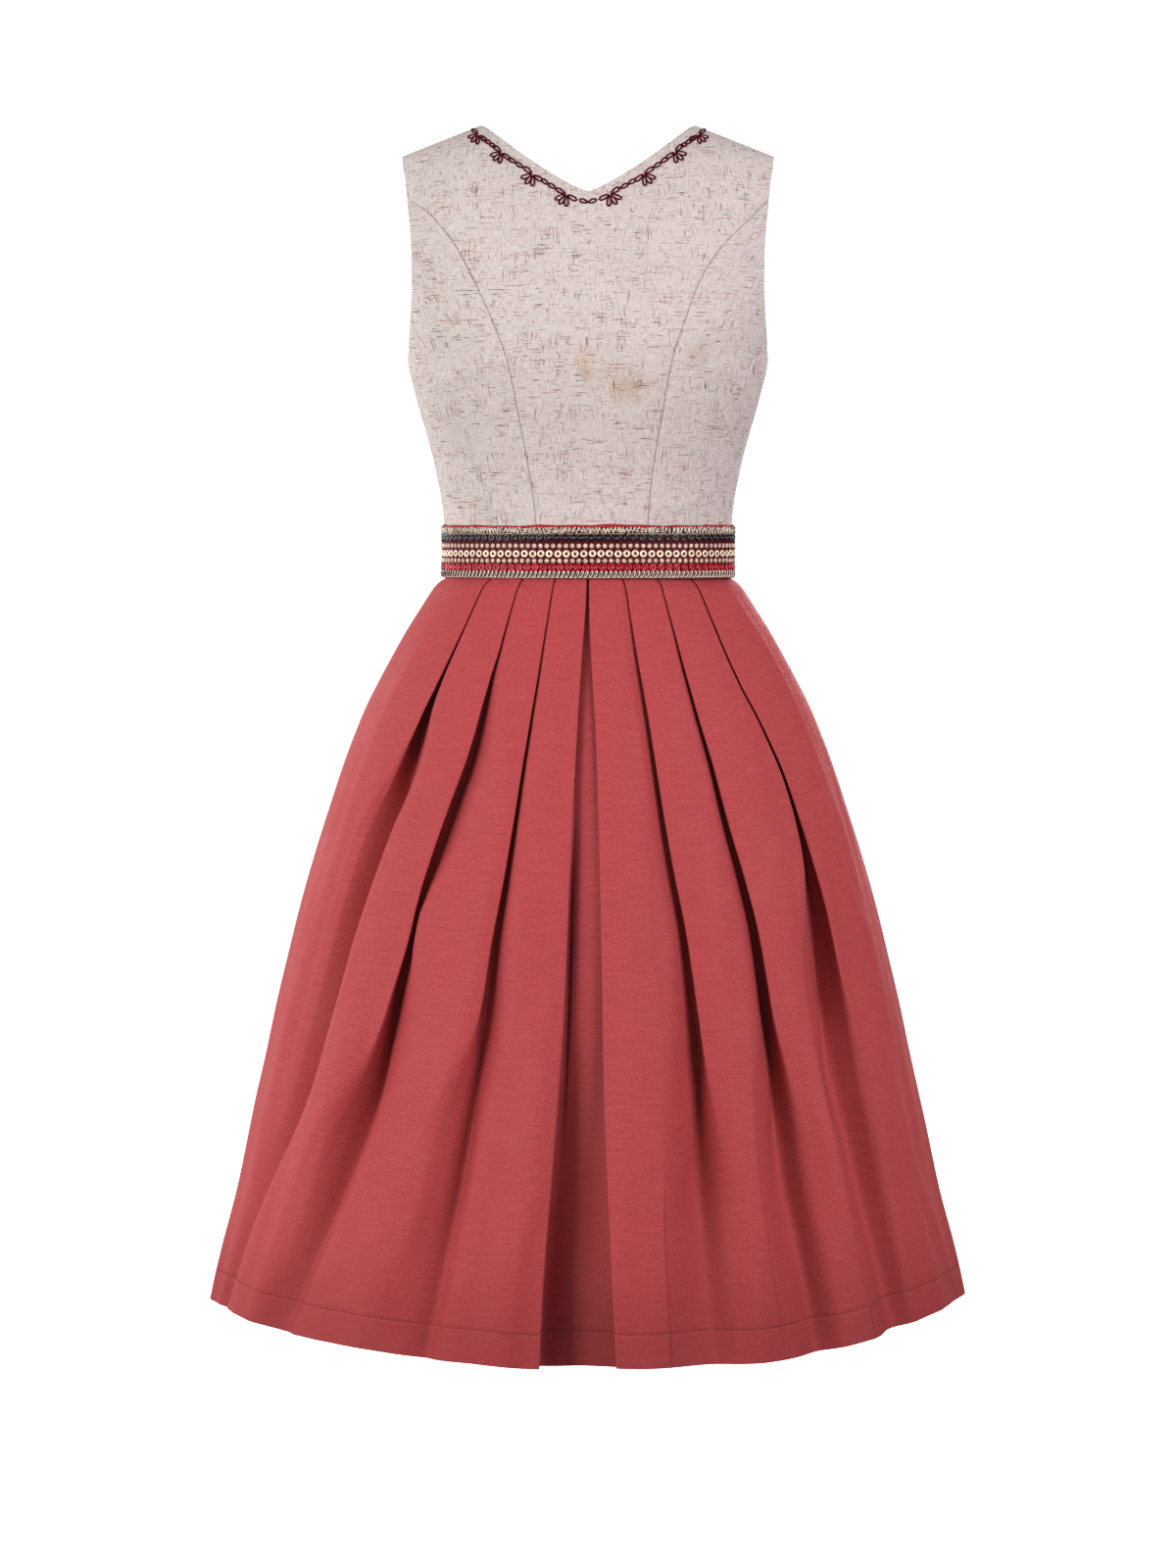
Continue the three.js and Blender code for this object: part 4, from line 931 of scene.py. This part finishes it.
def skirt_half(name, front, right, left, mat, node):
    """Half of the skirt (front 1, back -1) with its quarters on the wearer's right and left. Returns
    the piece with its middle surface, normals and heights."""
    zs = np.concatenate([np.arange(-385.2, -411, -4.0), np.arange(-411.5, -440, -3.0),
                         np.arange(-441, -1058, -6.2),
                         [-1058, -1061, -1063.5, -1064.7, -1065.5, -1066.3, -1067.5, -1070, -1075, -1082,
                          -1089, -1093.5, -1095.3, -1096]])
    a, b = skirt_a(zs)[:, None], skirt_b(zs)[:, None]
    L, R = quarter_controls(QUARTERS[left], zs), quarter_controls(QUARTERS[right], zs)
    mid = np.zeros((len(zs), 1, 4))
    mid[:, 0, 2] = mix(*(curve(QUARTERS[q]["c"]["deep"])(zs) for q in (right, left)), 0.7)
    mid[:, 0, 3] = 14
    R = R[:, ::-1].copy()
    R[..., 0] *= -1
    R[..., 1] *= -1
    line = fillet(np.concatenate([R, mid, L], 1), a, b)
    t, n = line[..., 0], line[..., 1]
    deg = np.degrees(t)
    per_deg = np.hypot(a * np.cos(t), b * np.sin(t)) * math.pi / 180
    for tab, to_right, to_left, high in RIDGES[front]:
        d = (deg - curve(tab)(zs)[:, None]) * per_deg
        n = n - curve(high)(zs)[:, None] * np.exp(-(d / np.where(d < 0, to_right, to_left)) ** 2)
    # slow unevenness of worn cloth, none at the side seams
    zz = zs[:, None]
    low = smooth(-430, -700, zz)
    away = smooth(90, 78, np.abs(deg))
    n = n - low * away * (0.9 * np.sin(deg * 0.31 + zz * 0.011 + front) + 0.6 * np.sin(deg * 0.83 - zz * 0.017))
    hem = HEM_LINE[front](deg)
    drop = smooth(-960, -1096, zz)
    z3 = zz + (hem - HEM - 0.17 * np.clip(n, -5, 50)) * drop
    x, y = ring_xyz(front, t, n, zs)
    P = np.stack([x, y, z3], -1)
    P[:, 0, 1] = P[:, -1, 1] = front * 0.05  # the halves just meet in the side seams
    N = grid_normals(P)
    probe = P[len(zs) // 2, 4]
    if np.dot(N[len(zs) // 2, 4, :2], probe[:2]) < 0:
        N = -N
    seam = np.minimum(np.abs(deg + 90), np.abs(90 - deg)) * 4.5
    sink = np.maximum(0.35 * hump(zz, HEM_STITCHES, 0.7), 0.45 * hump(seam, 0, 1.6))
    outer = P + N * (0.3 - sink)[..., None]
    thick = 0.3 + 0.7 * smooth(-1063, -1067, zz) + 0 * deg
    inner = P - N * thick[..., None]
    fabric = flat_u(P, P.shape[1] // 2)
    uv = np.stack([fabric, np.broadcast_to(z3, fabric.shape)], -1)
    return add_piece(shell(name, outer, inner, uv, [mat]), node, node), P, N, zs


# ---------------------------------------------------------------- belt form (same sizes as the solids)
BELT_A, BELT_B, BELT_TOP, BELT_BOTTOM = 134.5, 93.7, -361.5, -410.0
BELT_START, BELT_END = 52.0, 437.0  # azimuths; the stretch past 360 lies over the start


def belt_ring(deg, out):
    """Point and outward direction of the belt's form, out mm outside its inner face."""
    deg = np.asarray(deg, float)
    o = out + 3.95 * smooth(368, 409, deg)
    t = np.radians(deg)
    nx, ny = np.sin(t) / BELT_A, -np.cos(t) / BELT_B
    l = np.hypot(nx, ny)
    nx, ny = nx / l, ny / l
    return BELT_A * np.sin(t) + nx * o, BELT_B * -np.cos(t) + ny * o, nx, ny


_d = np.linspace(BELT_START, BELT_END, 6000)
_x, _y, _, _ = belt_ring(_d, 2.0)
_s = np.concatenate([[0], np.cumsum(np.hypot(np.diff(_x), np.diff(_y)))])
BELT_LENGTH = float(_s[-1])


def belt_frame(s, out):
    """Position (x, y) and outward direction at distance s along the belt."""
    d = np.interp(s, _s, _d)
    x, y, nx, ny = belt_ring(d, out)
    return x, y, nx, ny


def belt_strip(name, z_hi, z_lo, out, thick, mat, node, waver):
    """Strip of cloth wound round the belt, with slightly wavering edges."""
    s = np.linspace(0, BELT_LENGTH, 420)
    x, y, nx, ny = belt_frame(s, out)
    f = np.linspace(0, 1, 13)[:, None]
    hi = z_hi + waver * (0.5 * np.sin(s / 31.0) + 0.35 * np.sin(s / 11.3 + 1) + 0.3 * np.sin(s / 5.1 + 2))
    lo = z_lo + 0.3 * waver * np.sin(s / 23.0 + 2)
    z = lo + (hi - lo) * f
    swell = 0.18 * np.sin(f * np.pi)
    O = np.stack([x + nx * swell, y + ny * swell, z], -1)
    I = O - np.stack([nx * thick + 0 * z, ny * thick + 0 * z, 0 * z], -1)
    uv = np.stack([s + 0 * z, z], -1)
    return add_piece(shell(name, O, I, uv, [mat]), node, node)


def revolve(profile, sides):
    """Closed ring-shaped body from (radius, height) pairs; z is its axis."""
    prof = np.array(profile, float)
    ang = np.linspace(0, 2 * np.pi, sides, endpoint=False)
    V = np.stack([prof[:, 0][None] * np.cos(ang)[:, None], prof[:, 0][None] * np.sin(ang)[:, None],
                  np.broadcast_to(prof[:, 1], (sides, len(prof)))], -1).reshape(-1, 3)
    k = len(prof)
    I, J = np.meshgrid(np.arange(sides), np.arange(k), indexing="ij")
    I2, J2 = (I + 1) % sides, (J + 1) % k
    return V, np.stack([I * k + J, I2 * k + J, I2 * k + J2, I * k + J2], -1).reshape(-1, 4)


def ball(radius, sides=7, rings=4, squash=1.0):
    """Bead as a ball of few faces; its end caps are quads with two equal corners."""
    V = [(0, 0, radius * squash)]
    for i in range(1, rings):
        p = math.pi * i / rings
        for j in range(sides):
            q = 2 * math.pi * j / sides
            V.append((radius * math.sin(p) * math.cos(q), radius * math.sin(p) * math.sin(q),
                      radius * squash * math.cos(p)))
    V.append((0, 0, -radius * squash))
    F = [(0, 1 + j, 1 + (j + 1) % sides, 1 + (j + 1) % sides) for j in range(sides)]
    for i in range(rings - 2):
        b = 1 + i * sides
        F += [(b + j, b + sides + j, b + sides + (j + 1) % sides, b + (j + 1) % sides) for j in range(sides)]
    last = len(V) - 1
    b = 1 + (rings - 2) * sides
    F += [(b + (j + 1) % sides, b + j, last, last) for j in range(sides)]
    return np.array(V, float), np.array(F)


def place(bunch, V, F, s, z, out, tilt=0.0, spin=0.0, lean=0.0):
    """Sets a small body on the belt at distance s: its z axis points outwards."""
    x, y, nx, ny = (float(v) for v in belt_frame(s, out))
    n = np.array([nx, ny, 0.0])
    along = np.array([-ny, nx, 0.0])
    up = np.array([0.0, 0.0, 1.0])
    c, sn = math.cos(spin), math.sin(spin)
    A, B = c * along + sn * up, -sn * along + c * up
    nn = n + tilt * up + lean * along
    nn /= np.linalg.norm(nn)
    A = A - (A @ nn) * nn
    A /= np.linalg.norm(A)
    B = np.cross(nn, A)
    bunch.add(np.array([x, y, z]) + V[:, :1] * A + V[:, 1:2] * B + V[:, 2:3] * nn, F)


rng = np.random.default_rng(7)
HIDDEN = 30.0  # the first stretch of the belt lies under its outer end


def sequin_row(name, z, radius, hole, pitch, mat, height, core, wound=0.0, lean=0.07):
    """Row of rings sewn on through their holes; core gets the small bead in each hole."""
    sides, middle, half = (18), (hole + radius) / 2, (radius - hole) / 2
    V, F = revolve([(middle - half * math.cos(t), 0.06 + height * math.sin(t))
                    for t in np.radians((0, 35, 70, 105, 140, 180))] + [(middle, 0.0)], sides)
    top = V[:, 2] > height * 0.3
    V[top, 2] *= 1 + wound * np.cos(9 * np.arctan2(V[top, 1], V[top, 0]))
    bead, bf = ball(hole * 0.55, 6, 3, 0.9)
    b = Bunch()
    s = BELT_LENGTH - radius - 0.8
    while s > HIDDEN:
        at, zz = s + rng.uniform(-0.15, 0.15), z + rng.uniform(-0.18, 0.18)
        place(b, V, F, at, zz, 2.35, tilt=rng.uniform(-0.08, 0.08), spin=rng.uniform(0, 1),
              lean=rng.uniform(-lean, lean))
        place(core, bead, bf, at + rng.uniform(-0.2, 0.3), zz + rng.uniform(-0.2, 0.2), 2.6)
        s -= pitch
    return b.build(name, mat, "belt_trim")


def bead_row(name, z, pitch, mat, arm=1.5):
    """Row of small stars, each of seven bead petals round a core."""
    core, cf = ball(1.15, 7, 4, 0.9)
    petal, pf = ball(0.86, 6, 4, 0.9)
    petal = petal * np.array([1.25, 0.78, 1.0])
    b = Bunch()
    s = BELT_LENGTH - 2.5
    while s > HIDDEN:
        turn = rng.uniform(-0.3, 0.3)
        place(b, core, cf, s, z, 2.9)
        for k in range(7):
            a = turn + 2 * math.pi * k / 7
            ca, sa = math.cos(a), math.sin(a)
            W = np.stack([petal[:, 0] * ca - petal[:, 1] * sa + arm * ca,
                          petal[:, 0] * sa + petal[:, 1] * ca + arm * sa, petal[:, 2]], -1)
            place(b, W, pf, s, z, 2.6)
        s -= pitch
    return b.build(name, mat, "belt_trim")


def belt_thread(bunch, s, z, out, radius, sides=5):
    """Thread along distances s, heights z and distances out of the belt."""
    x, y, nx, ny = belt_frame(s, out)
    V, F = tube(np.stack([x, y, z], -1), radius, sides, normals=np.stack([nx, ny, 0 * nx], -1))
    bunch.add(V, F)


def zigzag_rows(gold, dark):
    """Crossed zigzags of metallic thread with dark thread between, along the top of the belt."""
    # strands, their radius, distance out, seed and the steps between turns
    for bunch, count, r, out0, seed, lo, hi in ((gold, 3, 0.45, 2.7, 1, 1.2, 2.5),
                                                (dark, 2, 0.43, 2.6, 5, 1.3, 2.6)):
        for k in range(count):
            g = np.random.default_rng(seed * 10 + k)
            s = HIDDEN
            pts = []
            up = k % 2
            while s < BELT_LENGTH - 0.6:
                pts.append((s, (-362.9 if up else -368.9) + g.uniform(-0.8, 0.8), out0 + g.uniform(0, 0.5)))
                s += g.uniform(lo, hi)
                up = 1 - up
            p = np.array(pts)
            i = np.linspace(0, len(p) - 1, 3 * len(p))
            q = [np.interp(i, np.arange(len(p)), p[:, c]) for c in range(3)]
            belt_thread(bunch, q[0], q[1], q[2] + 0.25 * np.sin(i * math.pi), r, 5)
    s = np.arange(HIDDEN, BELT_LENGTH - 0.5, 1.3)
    belt_thread(gold, s, -369.3 + 0.25 * np.sin(s * 1.9), 2.7 + 0.15 * np.cos(s * 1.9), 0.36, 5)


def chain_row(gold, dark):
    """Chain of slanted loops of metallic cord along the foot of the belt, dark stitches between."""
    pitch, z_lo, z_hi = 4.3, -409.0, -403.2
    turn = np.linspace(0, 2 * np.pi, 17)
    for base in np.arange(HIDDEN + 3, BELT_LENGTH - 4.0, pitch):
        wide = 1.15 + rng.uniform(-0.12, 0.12)
        z = (z_lo + z_hi) / 2 + (z_hi - z_lo) / 2 * np.cos(turn) + rng.uniform(-0.15, 0.15)
        s = base + wide * np.sin(turn) + 0.40 * (z - z_lo - 2.9) + rng.uniform(-0.1, 0.1)
        lift = 2.85 + 0.45 * np.sin(turn)
        belt_thread(gold, np.clip(s, HIDDEN, BELT_LENGTH - 0.4), z, lift, 0.62, 6)
        rise = np.linspace(0.4, 5.6, 6)
        belt_thread(dark, np.clip(base + pitch / 2 + 0.40 * (rise - 2.9), HIDDEN, BELT_LENGTH - 0.4),
                    z_lo + rise, 2.9 + 0.5 * np.sin(rise / 6 * np.pi), 0.52, 5)
    s = np.arange(HIDDEN, BELT_LENGTH - 0.5, 1.1)
    belt_thread(gold, s, z_lo + 0.25 * np.sin(s * 1.57), 2.5 + 0.2 * np.cos(s * 1.57), 0.55, 5)


# ---------------------------------------------------------------- sewing on the bodice
def on_front(x, z, lift=0.4):
    """Point and outward normal of the bodice's front at (x, z)."""
    x, z = np.asarray(x, float), np.asarray(z, float)

    def y_of(x, z):
        n = roundness(z)
        q = np.clip(1 - (np.abs(x) / half_width(z)) ** n, 0, 1) ** (1 / n)
        k = np.where(z > YOKE, np.sqrt(np.clip(1 - ((z - YOKE) / (shoulder_z(x) - YOKE)) ** 2, 0, 1)), 1.0)
        return -front_depth(z) * q * k
    y = y_of(x, z)
    e = 0.3
    gx = (y_of(x + e, z) - y_of(x - e, z)) / (2 * e)
    gz = (y_of(x, z + e) - y_of(x, z - e)) / (2 * e)
    n = np.stack([gx, -np.ones_like(gx), gz], -1)
    n /= np.linalg.norm(n, axis=-1, keepdims=True)
    y = y - crease(1, x, z) * 0.9
    return np.stack([x, y, z], -1) + n * lift, n


def neck_path(inset):
    """Polyline on the bodice, inset below the V neckline, from the centre to a shoulder."""
    x = np.linspace(0, NECK_X + 12, 160)
    z = np.where(x < NECK_X, front_neck(x), 10.2 + (x - NECK_X) * 0.82)
    tx, tz = np.gradient(x), np.gradient(z)
    l = np.hypot(tx, tz)
    px, pz = x + inset * tz / l, z - inset * tx / l
    keep = (px >= 0) & (pz < shoulder_z(px) - 0.8)
    px, pz = px[keep], pz[keep]
    foot = pz[0] - px[0] * (pz[3] - pz[0]) / (px[3] - px[0])
    px, pz = np.concatenate([[0], px]), np.concatenate([[foot], pz])
    P, _ = on_front(px, pz)
    s = np.concatenate([[0], np.cumsum(np.linalg.norm(np.diff(P, axis=0), axis=1))])
    return px, pz, s


def embroidery(mat):
    """Border of looped stitches: single leaves with fans of five between them."""
    px, pz, s = neck_path(10.5)
    b = Bunch()
    w = np.linspace(0, 2 * np.pi, 22, endpoint=False)

    def leaf(x0, z0, ang, length, width):
        # pointed oval from its root (x0, z0)
        along = length * (0.5 - 0.5 * np.cos(w))
        across = width / 2 * np.sin(w) * (0.55 + 0.45 * (0.5 - 0.5 * np.cos(w)))
        x = x0 + along * math.cos(ang) - across * math.sin(ang)
        z = z0 + along * math.sin(ang) + across * math.cos(ang)
        z = np.minimum(z, shoulder_z(x) - 0.7)
        P, N = on_front(x, z, 0.35)
        V, F = tube(P, 0.68, 6, closed=True, normals=N)
        b.add(V, F)
    # distances in mm along the path from the centre; the two sides differ a little
    for sg, hubs, leaves in (
            (-1, (21.4, 59.5, 99.5, 137.0), (0.6, 33.5, 41.7, 72.0, 81.0, 109.5, 116.0, 122.4)),
            (1, (21.8, 60.3, 100.4, 138.0), (0.6, 34.0, 42.4, 72.6, 81.6, 110.4, 117.0, 123.4))):
        def at(d):
            x, z = np.interp(d, s, px), np.interp(d, s, pz)
            x2, z2 = np.interp(d + 4, s, px), np.interp(d + 4, s, pz)
            return x, z, math.atan2(z2 - z, x2 - x)
        for k, d in enumerate(leaves):
            length = 7.2 if k < 5 else 5.6
            if d + length > s[-1]:
                continue
            x, z, a = at(d)
            a += 0.08 * math.sin(2.3 * d)
            leaf(sg * x, z, a if sg > 0 else math.pi - a, length, 4.1)
        for k, d in enumerate(hubs):
            if d > s[-1] - 1:
                continue
            x, z, a = at(d)
            size = (1.0, 1.0, 0.95, 0.85)[k]
            for j, da in enumerate((0.07, -0.92, -1.50, -2.12, -3.10)):
                ang = a + da + 0.06 * math.sin(3 * k + j + sg)
                length = (9.2, 9.6, 9.4, 9.5, 9.0)[j] * size
                x0 = x + 1.5 * math.cos(ang)
                z0 = z + 1.5 * math.sin(ang)
                leaf(sg * x0, z0, ang if sg > 0 else math.pi - ang, length, 4.3 * size)
    return b.build("neck_embroidery", mat, "bodice_front_centre")


def hem_stitches(P, N, zs, name, mat, slot_name):
    """One line of stitches round the skirt, at the top of the turned-up hem."""
    r = int(np.argmin(np.abs(zs - HEM_STITCHES)))
    L, M = P[r], N[r]
    s = np.concatenate([[0], np.cumsum(np.linalg.norm(np.diff(L, axis=0), axis=1))])
    b = Bunch()
    for c in np.arange(3, s[-1] - 4, 3.4):
        q = np.linspace(c, c + 2.5, 4)
        p = np.stack([np.interp(q, s, L[:, k]) for k in range(3)], -1)
        n = np.stack([np.interp(q, s, M[:, k]) for k in range(3)], -1)
        lift = np.array([-0.1, 0.18, 0.18, -0.1])
        V, F = tube(p + n * lift[:, None], 0.26, 4, normals=n)
        b.add(V, F)
    return b.build(name, mat, slot_name)


# ---------------------------------------------------------------- build
camera()
red_thread = thread_material("thread_red", rgb(120, 34, 42), 0.75)
gold_thread = thread_material("thread_gold", rgb(244, 230, 212), 0.36, contrast=0.50, sheen=0, metal=0.10,
                              spec=0.8)
dark_thread = thread_material("thread_dark", rgb(64, 18, 24), 0.6, sheen=0.0)
wine_thread = thread_material("thread_wine", rgb(100, 4, 34), 0.7, sheen=0.0, spec=0.15, contrast=0.30)

linen_front = linen_material("linen_front", STAINS)
linen_side = linen_material("linen_side", SIDE_STAINS)
front_cloth = top_panel("bodice_front_centre_cloth", 1, front_edge, [linen_front], "bodice_front_centre")
side_left = side_front("bodice_side_front_left_cloth", 1, princess_left, [linen_side], "bodice_side_front_left",
                       [(-386, 0.362, 0.5), (-300, 0.362, 0.45), (-282, 0.37, 0.4), (-206, 0.61, 0.25),
                        (-190, 0.65, 0.0), (-60, 0.7, 0.0)])
side_right = side_front("bodice_side_front_right_cloth", -1, princess_right, [linen_side],
                        "bodice_side_front_right",
                        [(-386, 0.28, 0.5), (-340, 0.31, 0.45), (-290, 0.35, 0.3), (-262, 0.36, 0.0),
                         (-60, 0.4, 0.0)])
back_cloth = top_panel("bodice_back_cloth", -1, back_edge, [linen_side], "bodice_back", darts=(0.36,))

cotton = cotton_material("cotton")
skirt_front, *front_form = skirt_half("skirt_front_cloth", 1, "front_right", "front_left", cotton,
                                      "skirt_front")
skirt_back, *back_form = skirt_half("skirt_back_cloth", -1, "back_right", "back_left", cotton,
                                    "skirt_back")
hem_stitches(*front_form, "skirt_front_hem_stitches", red_thread, "skirt_front")
hem_stitches(*back_form, "skirt_back_hem_stitches", red_thread, "skirt_back")

band_mat = thread_material("belt_cotton", rgb(176, 52, 58), 0.8, scale=700, contrast=0.3)
ground_mat = thread_material("belt_braid", rgb(104, 16, 30), 0.6, sheen=0.0, spec=0.3, scale=800, contrast=0.45)
band = belt_strip("belt_band_cloth", BELT_TOP + 0.2, BELT_BOTTOM, 1.4, 1.0, band_mat, "belt_band", 1.0)
braid = belt_strip("belt_braid", -363.6, -409.3, 2.4, 0.7, ground_mat, "belt_trim", 0.4)
# name, colour, roughness, grain for each metre, its contrast
black = thread_material("sequin_black", rgb(24, 20, 26), 0.30, 300, 0.3, sheen=0, spec=0.5, coat=0.35)
ring_gold = thread_material("sequin_gold", rgb(244, 228, 206), 0.34, 260, 0.30, sheen=0, spec=0.8, metal=0.10)
ring_red = thread_material("sequin_red", rgb(196, 8, 48), 0.30, 280, 0.30, sheen=0, spec=0.5, coat=0.5)
bead_gold = thread_material("bead_gold", rgb(238, 216, 200), 0.36, 500, 0.35, sheen=0, spec=0.8, metal=0.08)
bead_clear = thread_material("bead_clear", rgb(236, 232, 230), 0.15, 500, 0.1, sheen=0, spec=1.0, coat=1.0)
core = Bunch()
sequin_row("sequins_black", -372.8, 3.85, 1.0, 7.9, black, 0.85, core)
sequin_row("sequins_gold", -387.4, 3.6, 1.2, 7.85, ring_gold, 1.25, Bunch(), wound=0.10)
sequin_row("sequins_red", -400.0, 3.75, 1.25, 7.75, ring_red, 1.05, core, wound=0.05, lean=0.16)
core.build("sequin_beads", bead_clear, "belt_trim")
bead_row("beads_upper", -380.3, 5.9, bead_gold)
bead_row("beads_lower", -393.9, 5.9, bead_gold)
gold, dark = Bunch(), Bunch()
zigzag_rows(gold, dark)
chain_row(gold, dark)
gold.build("belt_gold_stitching", gold_thread, "belt_trim")
dark.build("belt_dark_stitching", dark_thread, "belt_trim")
embroidery(wine_thread)

# ---------------------------------------------------------------- floor, light, backdrop, view
def glowing(name, color, rough, strength, spec):
    """Plain stage material with a white glow of its own."""
    m = Nodes(name)
    m.bsdf.inputs["Emission Color"].default_value = (1, 1, 1, 1)
    m.bsdf.inputs["Emission Strength"].default_value = strength
    return m.finish(color, rough, spec=spec)


FLOOR_Z = -1.5
floor = new_object("floor", [(x, y, FLOOR_Z) for x, y in ((-12, -8), (12, -8), (12, 12), (-12, 12))],
                   [(0, 1, 2, 3)], [glowing("floor", rgb(215, 215, 215), 0.9, 0.70, 0.05)], flat=True)
floor.visible_diffuse = False
floor.visible_glossy = False

# studio: soft world light from above and from the wearer's right, three lamps in front, two behind
world = bpy.data.worlds.new("world")
world.use_nodes = True
wt = world.node_tree
coord = wt.nodes.new("ShaderNodeTexCoord")
split = wt.nodes.new("ShaderNodeSeparateXYZ")
wt.links.new(coord.outputs["Generated"], split.inputs[0])
total = wt.nodes.new("ShaderNodeMath")
WORLD = (("X", (-1.0, 0.0, 0.30, 0.0)), ("Z", (-1.0, 0.3, 0.08, 0.38)))  # axis: from, to, light there
for k, (axis, ends) in enumerate(WORLD):
    part = wt.nodes.new("ShaderNodeMapRange")
    for socket, value in zip(part.inputs[1:5], ends):
        socket.default_value = value
    wt.links.new(split.outputs[axis], part.inputs[0])
    wt.links.new(part.outputs[0], total.inputs[k])
wt.links.new(total.outputs[0], wt.nodes["Background"].inputs[1])
wt.nodes["Background"].inputs[0].default_value = (1, 1, 1, 1)
bpy.context.scene.world = world
# name, place, aim, size (m), watts
area_light("key", (-2.0, -1.8, -0.25), (0, 0, -0.7), (1.1, 1.4), 38)
area_light("side", (-2.6, -0.7, 0.0), (0, 0, -0.4), (1.2, 1.4), 16)
area_light("back", (0.9, 3.2, 0.2), (0, 0, -0.55), (2.4, 2.0), 85)
area_light("back_left", (-2.6, 2.2, 0.2), (0, 0, -0.5), (1.6, 1.8), 32)
area_light("near_right", (1.8, -1.6, 0.3), (0, 0, -0.5), (1.4, 1.4), 51, (0.98, 0.96, 1.0))

# seamless white backdrop that only the camera sees
bpy.ops.mesh.primitive_uv_sphere_add(segments=48, ring_count=24, radius=30)
dome = bpy.context.object
dome.name = "backdrop"
dome.data.materials.append(glowing("backdrop", (0, 0, 0, 1), 1.0, 1.0, 0.0))
for ray in ("diffuse", "glossy", "transmission", "volume_scatter", "shadow"):
    setattr(dome, "visible_" + ray, False)
vs = bpy.context.scene.view_settings
vs.view_transform = "Standard"
vs.look = "None"
vs.exposure = 0.16
vs.gamma = 0.74
